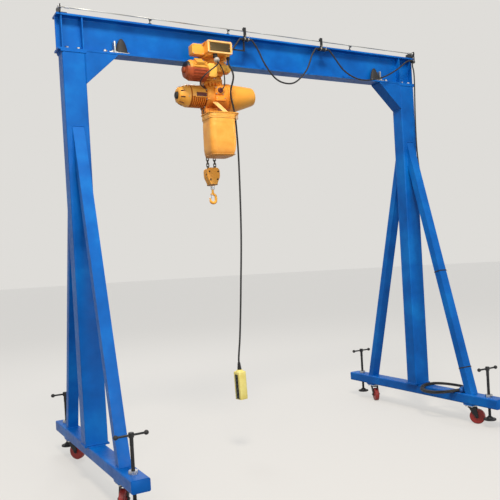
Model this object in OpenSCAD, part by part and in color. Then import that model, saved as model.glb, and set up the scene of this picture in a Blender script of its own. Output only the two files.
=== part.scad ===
// Portable gantry crane with an electric chain hoist, in millimetres.
// X runs along the girder, Y along the base beams, Z up. The origin is on the floor, midway
// between the columns.

/* [Frame] */
// Clear height under the girder
clear_h = 3000; // [2700:10:3300]
// Distance between the column centres
span = 3040; // [2800:10:3600]
// Overhang of the girder past each column centre
girder_over = 105; // [95:1:160]
// Depth of the girder section
girder_h = 250; // [220:5:300]
// Width of the girder flanges
girder_w = 116; // [110:1:126]
// Thickness of the girder flanges
girder_flange = 13; // [10:0.5:16]
// Thickness of the girder web
girder_web = 8; // [6:0.5:12]
// Column tube size along the girder
col_w = 160; // [140:5:180]
// Column tube size across the girder
col_d = 120; // [110:5:140]
// Wall thickness of the column tube
col_t = 5; // [4:0.5:8]
// Thickness of the plates at the head and foot of a column
col_plate = 12; // [8:1:20]

/* [Base] */
// Length of a base beam
base_l = 1880; // [1800:10:2200]
// Width of a base beam
base_w = 120; // [110:5:140]
// Depth of a base beam
base_h = 80; // [70:5:90]
// Wall thickness of a base beam
base_t = 5; // [4:0.5:8]
// Brace tube size along the girder
brace_w = 80; // [60:5:100]
// Brace tube size across its slope
brace_d = 60; // [50:5:70]
// Wall thickness of a brace
brace_t = 4; // [3:0.5:6]
// Distance from the middle of a base beam to the outer edge of a brace foot
brace_foot = 665; // [600:5:720]
// Height of the top of a brace above the floor
brace_head = 2475; // [2200:5:2600]

/* [Haunch] */
// Length of a haunch along the girder
haunch_l = 235; // [200:5:260]
// Depth of a haunch down the column
haunch_h = 225; // [180:5:260]
// Plate thickness of a haunch
haunch_t = 8; // [6:1:12]

/* [Casters] */
// Distance from the middle of a base beam to a caster
caster_y = 635; // [590:5:690]
// Wheel diameter
wheel_d = 125; // [115:1:130]
// Wheel tread width
wheel_w = 38; // [30:1:42]
// Trail of a wheel behind its swivel axis
trail = 38; // [30:1:42]

/* [Floor jacks] */
// Distance from the middle of a base beam to a floor jack
jack_y = 815; // [790:5:860]
// Diameter of the jack screw
jack_d = 24; // [20:1:30]
// Diameter of the jack foot
pad_d = 100; // [80:5:110]
// Height of the foot above the floor
pad_gap = 60; // [50:1:70]
// Height of the tee handle above the floor
handle_z = 482; // [440:2:520]
// Length of the tee handle
handle_l = 192; // [160:2:220]

/* [Trolley] */
// Place of the trolley along the girder
trolley_x = -450; // [-800:10:800]
// Length of a side plate
plate_l = 220; // [200:5:240]
// Thickness of a side plate
plate_t = 10; // [8:1:14]
// Gap between the flange edge and a side plate
plate_gap = 10; // [8:1:14]
// Diameter of the trolley wheels
tread_d = 80; // [70:2:84]
// Drop from the girder to the hoist axis
hoist_drop = 243; // [235:1:270]
// Diameter of the trolley motor
travel_d = 152; // [130:2:156]

/* [Hoist] */
// Diameter of the hoist gear cover where it meets the casting
gear_d = 226; // [210:2:230]
// Diameter of the hoist motor housing
motor_d = 172; // [150:2:180]
// Diameter of the round links' wire
link_d = 8; // [6:0.5:9]
// Inside length of a link
link_p = 24; // [22:0.5:27]
// Distance between the two falls of chain
fall_gap = 60; // [56:1:64]
// Height of the top of the hook block above the floor
block_top = 2210; // [2150:5:2240]
// Height of the hook block
block_h = 137; // [120:1:150]
// Width of the hook block
block_w = 108; // [96:1:116]
// Thickness of the hook block
block_t = 74; // [60:1:76]
// Mean radius of the hook's bowl
hook_r = 24; // [22:0.5:28]
// Diameter of the hook's section
hook_d = 18; // [16:0.5:19]
// Width of the chain bag
bag_w = 246; // [220:2:260]
// Depth of the chain bag, front to back
bag_d = 194; // [160:2:200]
// Height of the chain bag
bag_h = 320; // [290:2:340]
// Wall thickness of the chain bag
bag_t = 6; // [4:0.5:8]

/* [Festoon] */
// Diameter of the wire rope
rope_d = 8; // [5:0.5:10]
// Height of the rope above the girder
rope_up = 33; // [28:1:40]
// Distance of the rope in front of the flange edge
rope_out = 14; // [12:1:18]
// Diameter of the festoon cable
festoon_d = 13; // [10:0.5:16]
// Diameter of the supply cable
supply_d = 12; // [10:0.5:14]
// Diameter of the pendant cable
pendant_d = 14; // [12:0.5:16]

/* [Hidden] */
$fn = 48;

blue = "#1d5bb5";
orange = "#f0a02c";
yellow = "#f3c23a";
steel = "#9a9a94";
dark = "#26262a";
red = "#b5302a";

base_top = 250;
base_z = base_top - base_h;
girder_l = span + 2*girder_over;
col_x = span/2;
post_z = base_top + col_plate;
head_z = clear_h - col_plate;

fit = 0.05;
seat = 0.3;

// Stations of the four corners, as the signs of X and Y
front = -1;
back = 1;
left = -1;
right = 1;

// A plate with its corners rounded, lying on XY and centred
module round_plate(size, r, t) {
    linear_extrude(t) round_rect(size, r);
}

// A rectangle with round corners, centred
module round_rect(size, r) {
    square([size[0] - 2*r, size[1]], center = true);
    square([size[0], size[1] - 2*r], center = true);
    for (x = [-1, 1], y = [-1, 1])
        translate([x*(size[0]/2 - r), y*(size[1]/2 - r)]) circle(r);
}

// A cylinder along X, from x1 to x2
module bar_x(x1, x2, r) {
    translate([x1, 0, 0]) rotate([0, 90, 0]) cylinder(h = x2 - x1, r = r);
}

// A cylinder along Y, from y1 to y2
module bar_y(y1, y2, r) {
    translate([0, y2, 0]) rotate([90, 0, 0]) cylinder(h = y2 - y1, r = r);
}

// A box given by its lowest and highest corners
module block(a, b) {
    translate(a) cube(b - a);
}

// A profile drawn as [x, r], turned round the X axis
module turned_x(points) {
    rotate([0, 90, 0]) rotate_extrude() polygon([for (p = points) [p[1], p[0]]]);
}

// Girder

stiff_t = 8;
root_r = 9;
cope = 15;

module girder_profile() {
    inner = girder_h/2 - girder_flange;
    difference() {
        square([girder_w, girder_h], center = true);
        for (s = [-1, 1]) scale([s, 1]) {
            translate([girder_web/2 + root_r, -inner]) square([girder_w, 2*inner]);
            translate([girder_web/2, -inner + root_r]) square([2*root_r, 2*inner - 2*root_r]);
            for (v = [-1, 1]) translate([girder_web/2 + root_r, v*(inner - root_r)]) circle(root_r);
        }
    }
}

// A welded stiffener, coped to clear the root radii, on both sides of the web
module stiffener() rotate([90, 0, 90]) linear_extrude(stiff_t) {
    low = girder_flange;
    top = girder_h - girder_flange;
    for (s = [-1, 1]) scale([s, 1]) polygon([[girder_web/2 - 1, low + cope], [girder_web/2 + cope, low - 1],
        [girder_w/2 - 4, low - 1], [girder_w/2 - 4, top + 1], [girder_web/2 + cope, top + 1],
        [girder_web/2 - 1, top - cope]]);
}

module girder() color(blue) translate([0, 0, clear_h]) {
    translate([-girder_l/2, 0, girder_h/2]) rotate([90, 0, 90])
        linear_extrude(girder_l) girder_profile();
    for (s = [-1, 1], e = [-1, 1]) translate([s*(col_x + e*(col_w/2 - stiff_t)) - stiff_t/2, 0, 0]) stiffener();
}

// Columns

col_lip = 8;

module column(side) color(blue) translate([side*col_x, 0, 0]) {
    translate([0, 0, post_z]) linear_extrude(head_z - post_z) difference() {
        round_rect([col_w, col_d], 2*col_t);
        round_rect([col_w - 2*col_t, col_d - 2*col_t], col_t);
    }
    for (z = [base_top, head_z]) translate([-col_w/2 - col_lip, -base_w/2, z])
        difference() {
            cube([col_w + 2*col_lip, base_w, col_plate]);
            translate([col_w/2 + col_lip, base_w/2, -1]) cylinder(h = col_plate + 2, r = 25);
        }
}

// A box-shaped knee of welded plates between the girder and a column
module haunch(side) color(blue) translate([side*(col_x - col_w/2), 0, clear_h]) {
    y = col_d/2 - 2;
    notch = [-col_lip - seat, -col_plate - seat];
    outline = [[notch[0], 0], [-haunch_l, 0], [-haunch_l, -haunch_t], [0, -haunch_h], [0, notch[1]], notch];
    d = haunch_t;
    inner = [[1, -d], [-haunch_l + 2.4*d, -d], [1, -haunch_h + 1.5*d]];
    scale([side, 1, 1]) difference() {
        translate([0, y, 0]) rotate([90, 0, 0]) linear_extrude(2*y) polygon(outline);
        translate([0, y - d, 0]) rotate([90, 0, 0]) linear_extrude(2*y - 2*d) polygon(inner);
    }
}

// Braces, which lean from the column down to the base beam

brace_lean = atan((brace_foot - col_d/2)/(brace_head - base_top));
brace_span = brace_d/cos(brace_lean);

function brace_y(z) = col_d/2 + (brace_head - z)*tan(brace_lean);

module brace_side(inset) {
    low = base_top;
    top = brace_head - inset/sin(brace_lean);
    far = inset/cos(brace_lean);
    inner_top = brace_head - (brace_span - far)/tan(brace_lean);
    polygon([[brace_y(low) - far, low - (inset > 0 ? 1 : 0)], [col_d/2 - (inset > 0 ? 1 : 0), top],
        [col_d/2 - (inset > 0 ? 1 : 0), inner_top],
        [brace_y(low) - brace_span + far, low - (inset > 0 ? 1 : 0)]]);
}

module brace(side, end) color(blue) translate([side*col_x, 0, 0]) scale([1, end, 1]) difference() {
    translate([-brace_w/2, 0, 0]) rotate([90, 0, 90]) linear_extrude(brace_w) brace_side(0);
    translate([-brace_w/2 + brace_t, 0, 0]) rotate([90, 0, 90])
        linear_extrude(brace_w - 2*brace_t) brace_side(brace_t);
}

// Base beams

nut_d = 46;
weld_plate = [110, 100, 12];

module base_beam(side) color(blue) translate([side*col_x, 0, base_z]) difference() {
    union() {
        rotate([90, 0, 0]) translate([0, base_h/2, -base_l/2]) linear_extrude(base_l)
            round_rect([base_w, base_h], 2*base_t);
        for (y = [-1, 1]) translate([0, y*caster_y, -weld_plate[2]])
            round_plate([weld_plate[0], weld_plate[1]], 6, weld_plate[2] + 1);
    }
    rotate([90, 0, 0]) translate([0, base_h/2, -base_l/2 + base_t]) linear_extrude(base_l - 2*base_t)
        round_rect([base_w - 2*base_t, base_h - 2*base_t], base_t);
    for (y = [-1, 1]) translate([0, y*jack_y, -1]) cylinder(h = base_h + 2, d = nut_d);
}

// Threaded sleeves that carry the jack screws through the beams, with a collar on top
module jack_nuts() color(steel) for (side = [-1, 1], end = [-1, 1])
    translate([side*col_x, end*jack_y, base_z]) difference() {
        union() {
            translate([0, 0, -8]) cylinder(h = base_h + 8, d = nut_d);
            translate([0, 0, base_h]) cylinder(h = 22, d = nut_d + 14, $fn = 6);
        }
        translate([0, 0, -9]) cylinder(h = base_h + 40, r = jack_d/2 + fit);
    }

// A jack: foot, screw and tee handle in one
module jack(side, end) color(dark) translate([side*col_x, end*jack_y, 0]) {
    translate([0, 0, pad_gap]) cylinder(h = 14, d = pad_d);
    translate([0, 0, pad_gap + 14]) cylinder(h = 16, r1 = 26, r2 = jack_d/2);
    translate([0, 0, pad_gap + 14]) cylinder(h = handle_z - pad_gap - 2, d = jack_d);
    translate([0, 0, handle_z]) {
        bar_x(-handle_l/2, handle_l/2, 7);
        for (x = [-1, 1]) translate([x*handle_l/2, 0, 0]) sphere(15);
    }
}

// Casters

axle_z = wheel_d/2;
caster_top = base_z - weld_plate[2];
race_z = caster_top - 13;
crown_z = race_z - 5.5;
axle_r = 6;
king_r = 8;
leg_in = wheel_w/2 + 5.5;
leg_t = 5;

// Swivel angle of each caster at rest
function caster_turn(side, end) =
    side == right ? (end == back ? -23 : 31) : (end == back ? 38 : -34);

module caster_plates() color(steel) for (side = [-1, 1], end = [-1, 1])
    translate([side*col_x, end*caster_y, 0]) {
        translate([0, 0, caster_top - 5]) round_plate([104, 84], 8, 5);
        translate([0, 0, race_z]) cylinder(h = 8, d = 72);
        translate([0, 0, crown_z - 2]) cylinder(h = race_z - crown_z + 2, r = king_r);
        translate([0, 0, crown_z - 8]) cylinder(h = 7.5, d = 26);
    }

module at_caster(side, end) {
    translate([side*col_x, end*caster_y, 0]) rotate([0, 0, caster_turn(side, end)]) children();
}

module fork(side, end) color(dark) at_caster(side, end) {
    difference() {
        translate([0, 0, crown_z]) cylinder(h = 5, d = 76);
        translate([0, 0, crown_z - 1]) cylinder(h = 7, r = king_r + fit);
    }
    for (s = [-1, 1]) translate([s > 0 ? leg_in : -leg_in - leg_t, 0, 0])
        rotate([90, 0, 90]) linear_extrude(leg_t) {
            polygon([[-34, crown_z + 1], [26, crown_z + 1], [-trail + 14, axle_z - 4],
                [-trail - 14, axle_z - 2]]);
            translate([-trail, axle_z]) circle(15);
        }
    translate([0, -trail, axle_z]) bar_x(-leg_in - leg_t - 5, leg_in + leg_t + 5, axle_r);
    for (s = [-1, 1]) translate([s*(leg_in + leg_t + 3), -trail, axle_z])
        bar_x(-3, 3, 10, $fn = 6);
}

module caster_wheel(side, end) color(red) at_caster(side, end) translate([0, -trail, axle_z]) {
    hub = wheel_w/2 + 4.7;
    r = wheel_d/2;
    turned_x([[-hub, axle_r + fit], [-hub, 20], [-wheel_w/2 + 6, 24], [-wheel_w/2 + 6, r - 18],
        [-wheel_w/2, r - 15], [-wheel_w/2, r - 5], [-wheel_w/2 + 5, r], [wheel_w/2 - 5, r],
        [wheel_w/2, r - 5], [wheel_w/2, r - 15], [wheel_w/2 - 6, r - 18], [wheel_w/2 - 6, 24],
        [hub, 20], [hub, axle_r + fit]]);
}

// End stops, one each side of the web at both ends of the travel

stop_x = 1226;
stop_t = 12;
stop_h = 84;
stop_foot = 50;
buffer_l = 96;
buffer_r = 21;

module end_stops() color(blue) for (s = [-1, 1], f = [-1, 1]) translate([0, 0, clear_h + girder_flange])
    scale([s, f, 1]) {
        block([stop_x - stop_t, girder_web/2 + root_r, 0], [stop_x, girder_w/2 - 4, stop_h]);
        block([stop_x - stop_t - stop_foot, girder_web/2 + root_r, 0], [stop_x - stop_t, girder_w/2 - 10, 8]);
    }

// Bell-shaped rubber buffers on the stops, facing the trolley
module end_buffers() color(dark) for (s = [-1, 1], f = [-1, 1])
    scale([s, f, 1]) translate([stop_x - stop_t, girder_w/4 + 4, clear_h + girder_flange + stop_h - 2*buffer_r + 2])
        turned_x([[0, 0], [0, buffer_r], [-10, buffer_r], [-18, buffer_r - 6], [-40, buffer_r - 4],
            [-buffer_l + 16, buffer_r], [-buffer_l + 6, buffer_r - 3], [-buffer_l, buffer_r - 11],
            [-buffer_l, 0]]);

// Wire rope and what holds it

rope_y = -girder_w/2 - rope_out;
rope_z = clear_h + girder_h + rope_up;
rope_end = girder_l/2 - 25;
bracket_t = 6;

module wire_rope() color(steel) translate([0, rope_y, rope_z]) bar_x(-rope_end, rope_end, rope_d/2);

support_x = [-945, -300, 890];

module rope_brackets() color(dark) {
    for (s = [-1, 1]) scale([s, 1, 1]) {
        block([rope_end, rope_y - 16, rope_z - rope_up + seat], [rope_end + bracket_t, 20, rope_z + 16]);
        block([rope_end - 50, rope_y + rope_out + 2, rope_z - rope_up + 0],
            [rope_end + bracket_t, 20, rope_z - rope_up + 6]);
    }
    for (x = support_x) translate([x, 0, rope_z]) {
        block([-12, rope_y + rope_out + 2, -rope_up], [12, 0, -rope_up + 6]);
        block([-3, rope_y + rope_out + 2, -rope_up], [3, rope_y + rope_out + 8, -rope_d/2]);
        block([-3, rope_y - 2, -rope_d/2 - 8], [3, rope_y + rope_out + 8, -rope_d/2]);
    }
}

// Trolley, placed about the middle of its plates at the girder's underside

plate_y = girder_w/2 + plate_gap;
plate_top = 108;
plate_low = -92;
wheel_in = girder_web/2 + root_r + 7;
wheel_dx = 65;
rod_z = -60;
rod_r = 12;
rod_dx = 42;

module at_trolley() {
    translate([trolley_x, 0, clear_h]) children();
}

module trolley_plate(f) color(orange) at_trolley() scale([1, f, 1]) difference() {
    translate([0, plate_y + plate_t, 0]) rotate([90, 0, 0]) linear_extrude(plate_t)
        difference() {
            polygon([[-plate_l/2, 20], [-plate_l/2, 92], [-plate_l/2 + 16, plate_top],
                [plate_l/2 - 16, plate_top], [plate_l/2, 92], [plate_l/2, 20],
                [plate_l/2 - 44, plate_low], [-plate_l/2 + 44, plate_low]]);
            for (x = [-1, 1]) translate([x*rod_dx, rod_z]) circle(rod_r + fit);
        }
}

module trolley_wheels() color(steel) at_trolley() for (f = [-1, 1], x = [-1, 1])
    scale([1, f, 1]) translate([x*wheel_dx, 0, girder_flange + tread_d/2 + seat]) {
        bar_y(wheel_in, girder_w/2, tread_d/2);
        bar_y(girder_w/2, plate_y, 14);
    }

module trolley_rods() color(steel) at_trolley() for (x = [-1, 1]) translate([x*rod_dx, 0, rod_z]) {
    bar_y(-plate_y - plate_t, plate_y + plate_t + 14, rod_r);
    translate([0, plate_y + plate_t + seat, 0]) bar_y(0, 12, 19, $fn = 6);
}

travel_y = -150;
travel_z = -92;
travel_r = travel_d/2;
travel_l = 300;
travel_in = 130;
gearcase = [78, 104];
gearcase_x = -70;
drive_cover = [140, 62];
drive_cover_x = 52;
drive_cover_y = 58;

module trolley_motor() color(orange) at_trolley() {
    translate([0, travel_y, travel_z]) {
        turned_x([[-travel_l, 0], [-travel_l, 22], [-travel_l + 26, 25], [-travel_l + 30, travel_r - 18],
            [-travel_l + 45, travel_r - 4], [-travel_l + 60, travel_r], [-travel_in, travel_r],
            [-travel_in + 4, travel_r - 16], [-travel_in + 22, travel_r - 24], [-travel_in + 22, 0]]);
    }
    gear_y = -plate_y - plate_t;
    translate([gearcase_x, 0, travel_z + 6]) rotate([90, 0, 0]) translate([0, 0, -gear_y])
        linear_extrude(-travel_y + gear_y + 40) round_rect(gearcase, 22);
    translate([drive_cover_x, 0, -45]) rotate([90, 0, 0]) translate([0, 0, -gear_y])
        linear_extrude(drive_cover_y) round_rect(drive_cover, 28);
}

box_in = 14;
box_w = plate_l - box_in;
box_mid = -16;
box_low = 34;
box_top = 127;
side_box = [92, 80];
side_box_y = 72;
// How far the side box reaches into the main box
box_lap = 12;
box_front = -225;

module control_box() color(orange) at_trolley() {
    back_y = -plate_y - plate_t;
    translate([box_mid, back_y, (box_low + box_top)/2]) rotate([90, 0, 0])
        linear_extrude(back_y - box_front) round_rect([box_w, box_top - box_low], 12);
    translate([box_mid - box_w/2 - side_box[0]/2 + box_lap/2, back_y, box_low + side_box[1]/2])
        rotate([90, 0, 0]) linear_extrude(side_box_y) round_rect(side_box + [box_lap, 0], 12);
}

gland_x = 70;
gland_y = -180;

module cable_glands() color(steel) at_trolley() {
    translate([gland_x, gland_y, box_low]) {
        translate([0, 0, -12]) cylinder(h = 12, r = 14, $fn = 6);
        translate([0, 0, -34]) cylinder(h = 22, r1 = 9, r2 = 12);
    }
    translate([-48, box_front + 26, box_low]) {
        translate([0, 0, -14]) cylinder(h = 14, r = 19, $fn = 6);
        translate([0, 0, -40]) cylinder(h = 26, r1 = 13, r2 = 17);
    }
}

// Lug between the trolley rods and the hoist

lug_top = -30;
lug_foot = [-74, 82];
casting_top = -hoist_drop + gear_d/2 + 8;

module suspension() color(orange) at_trolley() difference() {
    union() {
        translate([0, 26, 0]) rotate([90, 0, 0]) linear_extrude(52)
            polygon([[lug_foot[0] + 5, casting_top + 14], [lug_foot[0] + 5, casting_top + 26],
                [-62, lug_top - 12], [-50, lug_top], [50, lug_top], [62, lug_top - 12],
                [lug_foot[1] - 5, casting_top + 26], [lug_foot[1] - 5, casting_top + 14]]);
        block([lug_foot[0], -40, casting_top], [lug_foot[1], 40, casting_top + 15]);
    }
    for (x = [-1, 1]) translate([x*rod_dx, 0, rod_z]) bar_y(-60, 60, rod_r + fit);
}

// Hoist, whose main axis runs along X under the trolley

hoist_z = -hoist_drop;
casting_x1 = -76;
casting_x2 = 125;
hook_x = -35;
guide_z = hoist_z - gear_d/2 - 18;

module hoist_casting() color(orange) {
    casting_shell();
    translate([trolley_x + hook_x, 0, 0]) chain_pin(eye_top, link_turn(link_count - 1));
}

module casting_shell() at_trolley() difference() {
    union() {
        translate([0, 0, hoist_z]) turned_x([[casting_x1, 0], [casting_x1, 92], [casting_x1 + 14, 100],
            [casting_x2 - 20, gear_d/2 - 5], [casting_x2 - 12, gear_d/2], [casting_x2, gear_d/2],
            [casting_x2, 0]]);
        block([lug_foot[0], -46, hoist_z], [lug_foot[1], 46, casting_top]);
        translate([(casting_x1 + 20)/2 + 4, 0, guide_z]) linear_extrude(hoist_z - guide_z)
            round_rect([104, 84], 14);
    }
    for (s = [-1, 1]) translate([hook_x + s*fall_gap/2, 0, guide_z - 1]) cylinder(h = 36, r = 17);
}

// Pins that hold the ends of both falls: through the top links in the casting, and through the
// bottom links in the hook block
chain_pin_r = 4;
chain_pin_l = 36;

module chain_pin(z, turn) {
    for (s = [-1, 1]) translate([s*fall_gap/2, 0, z]) rotate([0, 0, turn])
        bar_y(-chain_pin_l/2, chain_pin_l/2, chain_pin_r);
}

module hoist_motor() color(orange) at_trolley() translate([0, 0, hoist_z]) {
    r = motor_d/2;
    fins = 9;
    step = 12;
    x0 = casting_x1 - 130;
    turned_x(concat([[x0, 0], [x0, r]],
        [for (i = [0 : fins - 1]) for (p = [[6, r], [6, r - 9], [12, r - 9], [12, r]])
            [x0 + i*step + p[0], p[1]]],
        [[casting_x1, r], [casting_x1, 0]]));
}

module hoist_fan_cover() color(orange) at_trolley() translate([0, 0, hoist_z]) {
    r = motor_d/2;
    x0 = casting_x1 - 130;
    turned_x([[x0 - 94, 0], [x0 - 94, 32], [x0 - 92, 35], [x0 - 80, 35], [x0 - 80, r - 31], [x0 - 76, r - 27],
        [x0 - 24, r - 4], [x0 - 10, r], [x0, r], [x0, 0]]);
}

// Gear cover: a straight rim, and a taper that leans up so that its top runs nearly level
cover_rim = 51;
cover_l = 206;
cover_r = 69;
cover_lean = 8.5;

module hoist_gear_cover() color(orange) at_trolley() translate([0, 0, hoist_z]) {
    r = gear_d/2;
    turned_x([[casting_x2, 0], [casting_x2, r], [casting_x2 + cover_rim - 3, r],
        [casting_x2 + cover_rim, r - 3], [casting_x2 + cover_rim, 0]]);
    translate([casting_x2 + cover_rim - 18, 0, 0]) rotate([0, -cover_lean, 0])
        turned_x([[0, 0], [0, r - 5], [cover_l - 12, cover_r + 1], [cover_l - 4, cover_r - 5],
            [cover_l, cover_r - 14], [cover_l, 0]]);
}

// Chain bag: a bucket of coated cloth hung in front of the falls

bag_x = -8;
bag_y = -142;
bag_top = -410;

module bag_hanger() color(steel) at_trolley() {
    translate([bag_x, bag_y, bag_top + seat]) linear_extrude(6) difference() {
        round_rect([bag_w + 8, bag_d + 8], 46);
        round_rect([bag_w - 2*bag_t - 6, bag_d - 2*bag_t - 6], 40);
    }
    for (s = [-1, 1]) translate([hook_x + 9 + s*34, 0, 0]) {
        block([-4, -52, bag_top + seat], [4, -42 - seat, guide_z + 27]);
    }
}

module chain_bag() color(yellow) at_trolley() translate([bag_x, bag_y, bag_top - bag_h]) difference() {
    linear_extrude(bag_h) round_rect([bag_w, bag_d], 42);
    translate([0, 0, bag_t]) linear_extrude(bag_h) round_rect([bag_w - 2*bag_t, bag_d - 2*bag_t], 42 - bag_t);
}

// Load chain: round links, each turned a quarter from the last

link_w = 10;
slack = 0.3;
link_step = link_p - slack;
block_low = block_top - block_h;
fall_low = block_top - 14;
fall_top = clear_h + guide_z + 34;
link_count = floor((fall_top - fall_low)/link_step);
eye = link_p/2 - chain_pin_r - slack;
eye_low = fall_low + link_step/2 - eye;
eye_top = fall_low + (link_count - 0.5)*link_step + eye;

function link_turn(i) = i % 2 == 0 ? 45 : -45;

// One link standing along Z, its middle at the origin
module link() {
    straight = link_p - link_w;
    r = (link_w + link_d)/2;
    for (s = [-1, 1]) {
        translate([s*r, 0, -straight/2]) cylinder(h = straight, d = link_d, $fn = 24);
        translate([0, 0, s*straight/2]) rotate([90, 0, s > 0 ? 0 : 180])
            rotate_extrude(angle = s > 0 ? 180 : -180, $fn = 24)
                translate([r, 0]) circle(d = link_d, $fn = 24);
    }
}

module load_chain() color(steel) translate([trolley_x + hook_x, 0, 0]) for (s = [-1, 1])
    for (i = [0 : link_count - 1]) translate([s*fall_gap/2, 0, fall_low + (i + 0.5)*link_step])
        rotate([0, 0, link_turn(i)]) link();

// Hook block

neck_r = 15;
shank_r = 9;

module hook_block() color(orange) translate([trolley_x + hook_x, 0, 0]) {
    block_shell();
    chain_pin(eye_low, link_turn(0));
}

module block_shell() difference() {
    translate([0, block_t/2, 0]) rotate([90, 0, 0]) linear_extrude(block_t) {
        translate([0, block_top - 40]) round_rect([block_w, 80], 12);
        polygon([[-block_w/2, block_top - 56], [block_w/2, block_top - 56], [26, block_low],
            [-26, block_low]]);
    }
    for (s = [-1, 1]) translate([s*fall_gap/2, 0, block_top - 34]) cylinder(h = 36, r = 14);
    translate([0, 0, block_low - 1]) cylinder(h = 41, r = shank_r + fit);
}

// Forged hook: neck, quarter bend, straight side and bowl, with ears for the latch
bowl_z = block_low - 110;
bowl_rise = 20;
mouth_end = 165;
ear_x = -13;
ear_z = bowl_rise + 22;
pin_r = 2;

module hook() color(orange) translate([trolley_x + hook_x, 0, 0]) {
    neck_z = bowl_z + bowl_rise + hook_r;
    translate([0, 0, neck_z]) cylinder(h = block_low + 38 - neck_z, r = shank_r);
    translate([0, 0, block_low - 30]) cylinder(h = 29, r = neck_r);
    translate([0, 0, neck_z]) sphere(hook_d/2);
    translate([hook_r, 0, bowl_z]) cylinder(h = bowl_rise, d = hook_d);
    translate([0, 0, bowl_z + bowl_rise]) rotate([90, 0, 0])
        rotate_extrude(angle = 90) translate([hook_r, 0]) circle(d = hook_d);
    translate([0, 0, bowl_z]) {
        rotate([-90, 0, 0]) rotate_extrude(angle = 360 - mouth_end)
            translate([hook_r, 0]) circle(d = hook_d);
        rotate([0, -mouth_end, 0]) translate([hook_r, 0, 0]) sphere(hook_d/2);
        for (s = [-1, 1]) block([ear_x - 4, s > 0 ? 5 : -8, ear_z - 4], [0, s > 0 ? 8 : -5, ear_z + 5]);
        translate([ear_x, 0, ear_z]) bar_y(-8, 8, pin_r);
    }
}

module hook_latch() color(steel) translate([trolley_x + hook_x + ear_x, 0, bowl_z]) difference() {
    union() {
        translate([0, 0, ear_z]) bar_y(-4.5, 4.5, pin_r + 2);
        block([-1.5, -4.5, 9], [1.5, 4.5, ear_z - pin_r - 1]);
    }
    translate([0, 0, ear_z]) bar_y(-5, 5, pin_r + fit);
}

// Festoon: the towed carrier, the loose one, and the cable between them

carrier_x = 568;
tow_x = -167 - trolley_x;

// A carrier hung on the rope by a roller, with a saddle for the cable
module carrier(l) translate([0, rope_y, rope_z]) {
    translate([0, 0, rope_d/2 + 12 + seat]) bar_y(-6, 6, 12);
    translate([0, 0, rope_d/2 + 12 + seat]) bar_y(-14, -6, 4);
    block([-12, -14, -64], [12, -9.5, rope_d/2 + 22]);
    translate([0, -24, -74]) rotate([90, 0, 90]) linear_extrude(l, center = true) difference() {
        round_rect([32, 24], 6);
        circle(d = festoon_d + 1);
    }
}

module tow_arm() color(dark) {
    translate([trolley_x + tow_x, 0, 0]) carrier(56);
    at_trolley() {
        face = -plate_y - plate_t;
        root = plate_l/2 - 18;
        block([root, face - 8, 62], [root + 18, face, 130]);
        block([root, face - 8, 120], [tow_x - 8, face, 130]);
        block([tow_x - 20, face - 8, 120], [tow_x - 8, face, 226]);
        block([tow_x - 20, rope_y - 14, 216], [tow_x, rope_y - 9.5, 226]);
    }
}

module cable_carrier() color(dark) translate([carrier_x, 0, 0]) carrier(80);

// Sweeps a round cord along points: a ring of sides at each point, square to the path there
function unit(v) = v/norm(v);
function path_dir(p, i) = unit(p[min(i + 1, len(p) - 1)] - p[max(i - 1, 0)]);
function path_side(d) = abs(d[2]) > 0.9 ? unit(cross(d, [0, 1, 0])) : unit(cross(d, [0, 0, 1]));
function smooth_point(p, i, t) =
    let (a = p[max(i - 1, 0)], b = p[i], c = p[i + 1], d = p[min(i + 2, len(p) - 1)])
    0.5*(2*b + (c - a)*t + (2*a - 5*b + 4*c - d)*t*t + (3*b - a - 3*c + d)*t*t*t);
function smooth_path(p, steps) = concat(
    [for (i = [0 : len(p) - 2]) for (k = [0 : steps - 1]) smooth_point(p, i, k/steps)],
    [p[len(p) - 1]]);

module cord(p, d, sides = 8) {
    n = len(p);
    rings = [for (i = [0 : n - 1])
        let (t = path_dir(p, i), a = path_side(t), b = cross(t, a))
        for (k = [0 : sides - 1]) p[i] + d/2*(a*cos(360*k/sides) + b*sin(360*k/sides))];
    walls = [for (i = [0 : n - 2]) for (k = [0 : sides - 1])
        let (a = i*sides + k, b = i*sides + (k + 1) % sides)
        for (f = [[a, b + sides, b], [a, a + sides, b + sides]]) f];
    first = [for (k = [1 : sides - 2]) [0, k, k + 1]];
    last = [for (k = [1 : sides - 2]) [(n - 1)*sides, (n - 1)*sides + k + 1, (n - 1)*sides + k]];
    polyhedron(points = rings, faces = concat(walls, first, last));
}

festoon_y = rope_y - 24;
festoon_z = rope_z - 74;
clamp_x = rope_end - 24;

// Route of the festoon cable from the frame's clamp to the control box
festoon_path = [[clamp_x, festoon_y, festoon_z], [1500, festoon_y - 2, festoon_z - 12],
    [1370, -104, 3110], [1180, -106, 3020], [960, -106, 2985], [790, -104, 3040], [680, festoon_y - 2, 3160],
    [carrier_x + 68, festoon_y, festoon_z], [carrier_x + 44, festoon_y, festoon_z],
    [carrier_x - 44, festoon_y, festoon_z], [carrier_x - 68, festoon_y, festoon_z], [455, -100, 3150],
    [390, -104, 3020], [280, -106, 2915], [180, -106, 2892], [80, -106, 2925], [-10, -104, 3030],
    [-65, -100, 3140], [trolley_x + tow_x + 54, festoon_y, festoon_z],
    [trolley_x + tow_x + 32, festoon_y, festoon_z], [trolley_x + tow_x - 32, festoon_y, festoon_z],
    [trolley_x + tow_x - 54, festoon_y, festoon_z], [-270, -108, 3150], [-320, -126, 3096],
    [-350, -128, 3090], [trolley_x + box_mid + box_w/2 + 2*seat, -128, 3090]];

module festoon_cable() color(dark) cord(smooth_path(festoon_path, 3), festoon_d);

// Clamps and ties that hold the cables to the frame
tie_z = [1284, 462];

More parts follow.
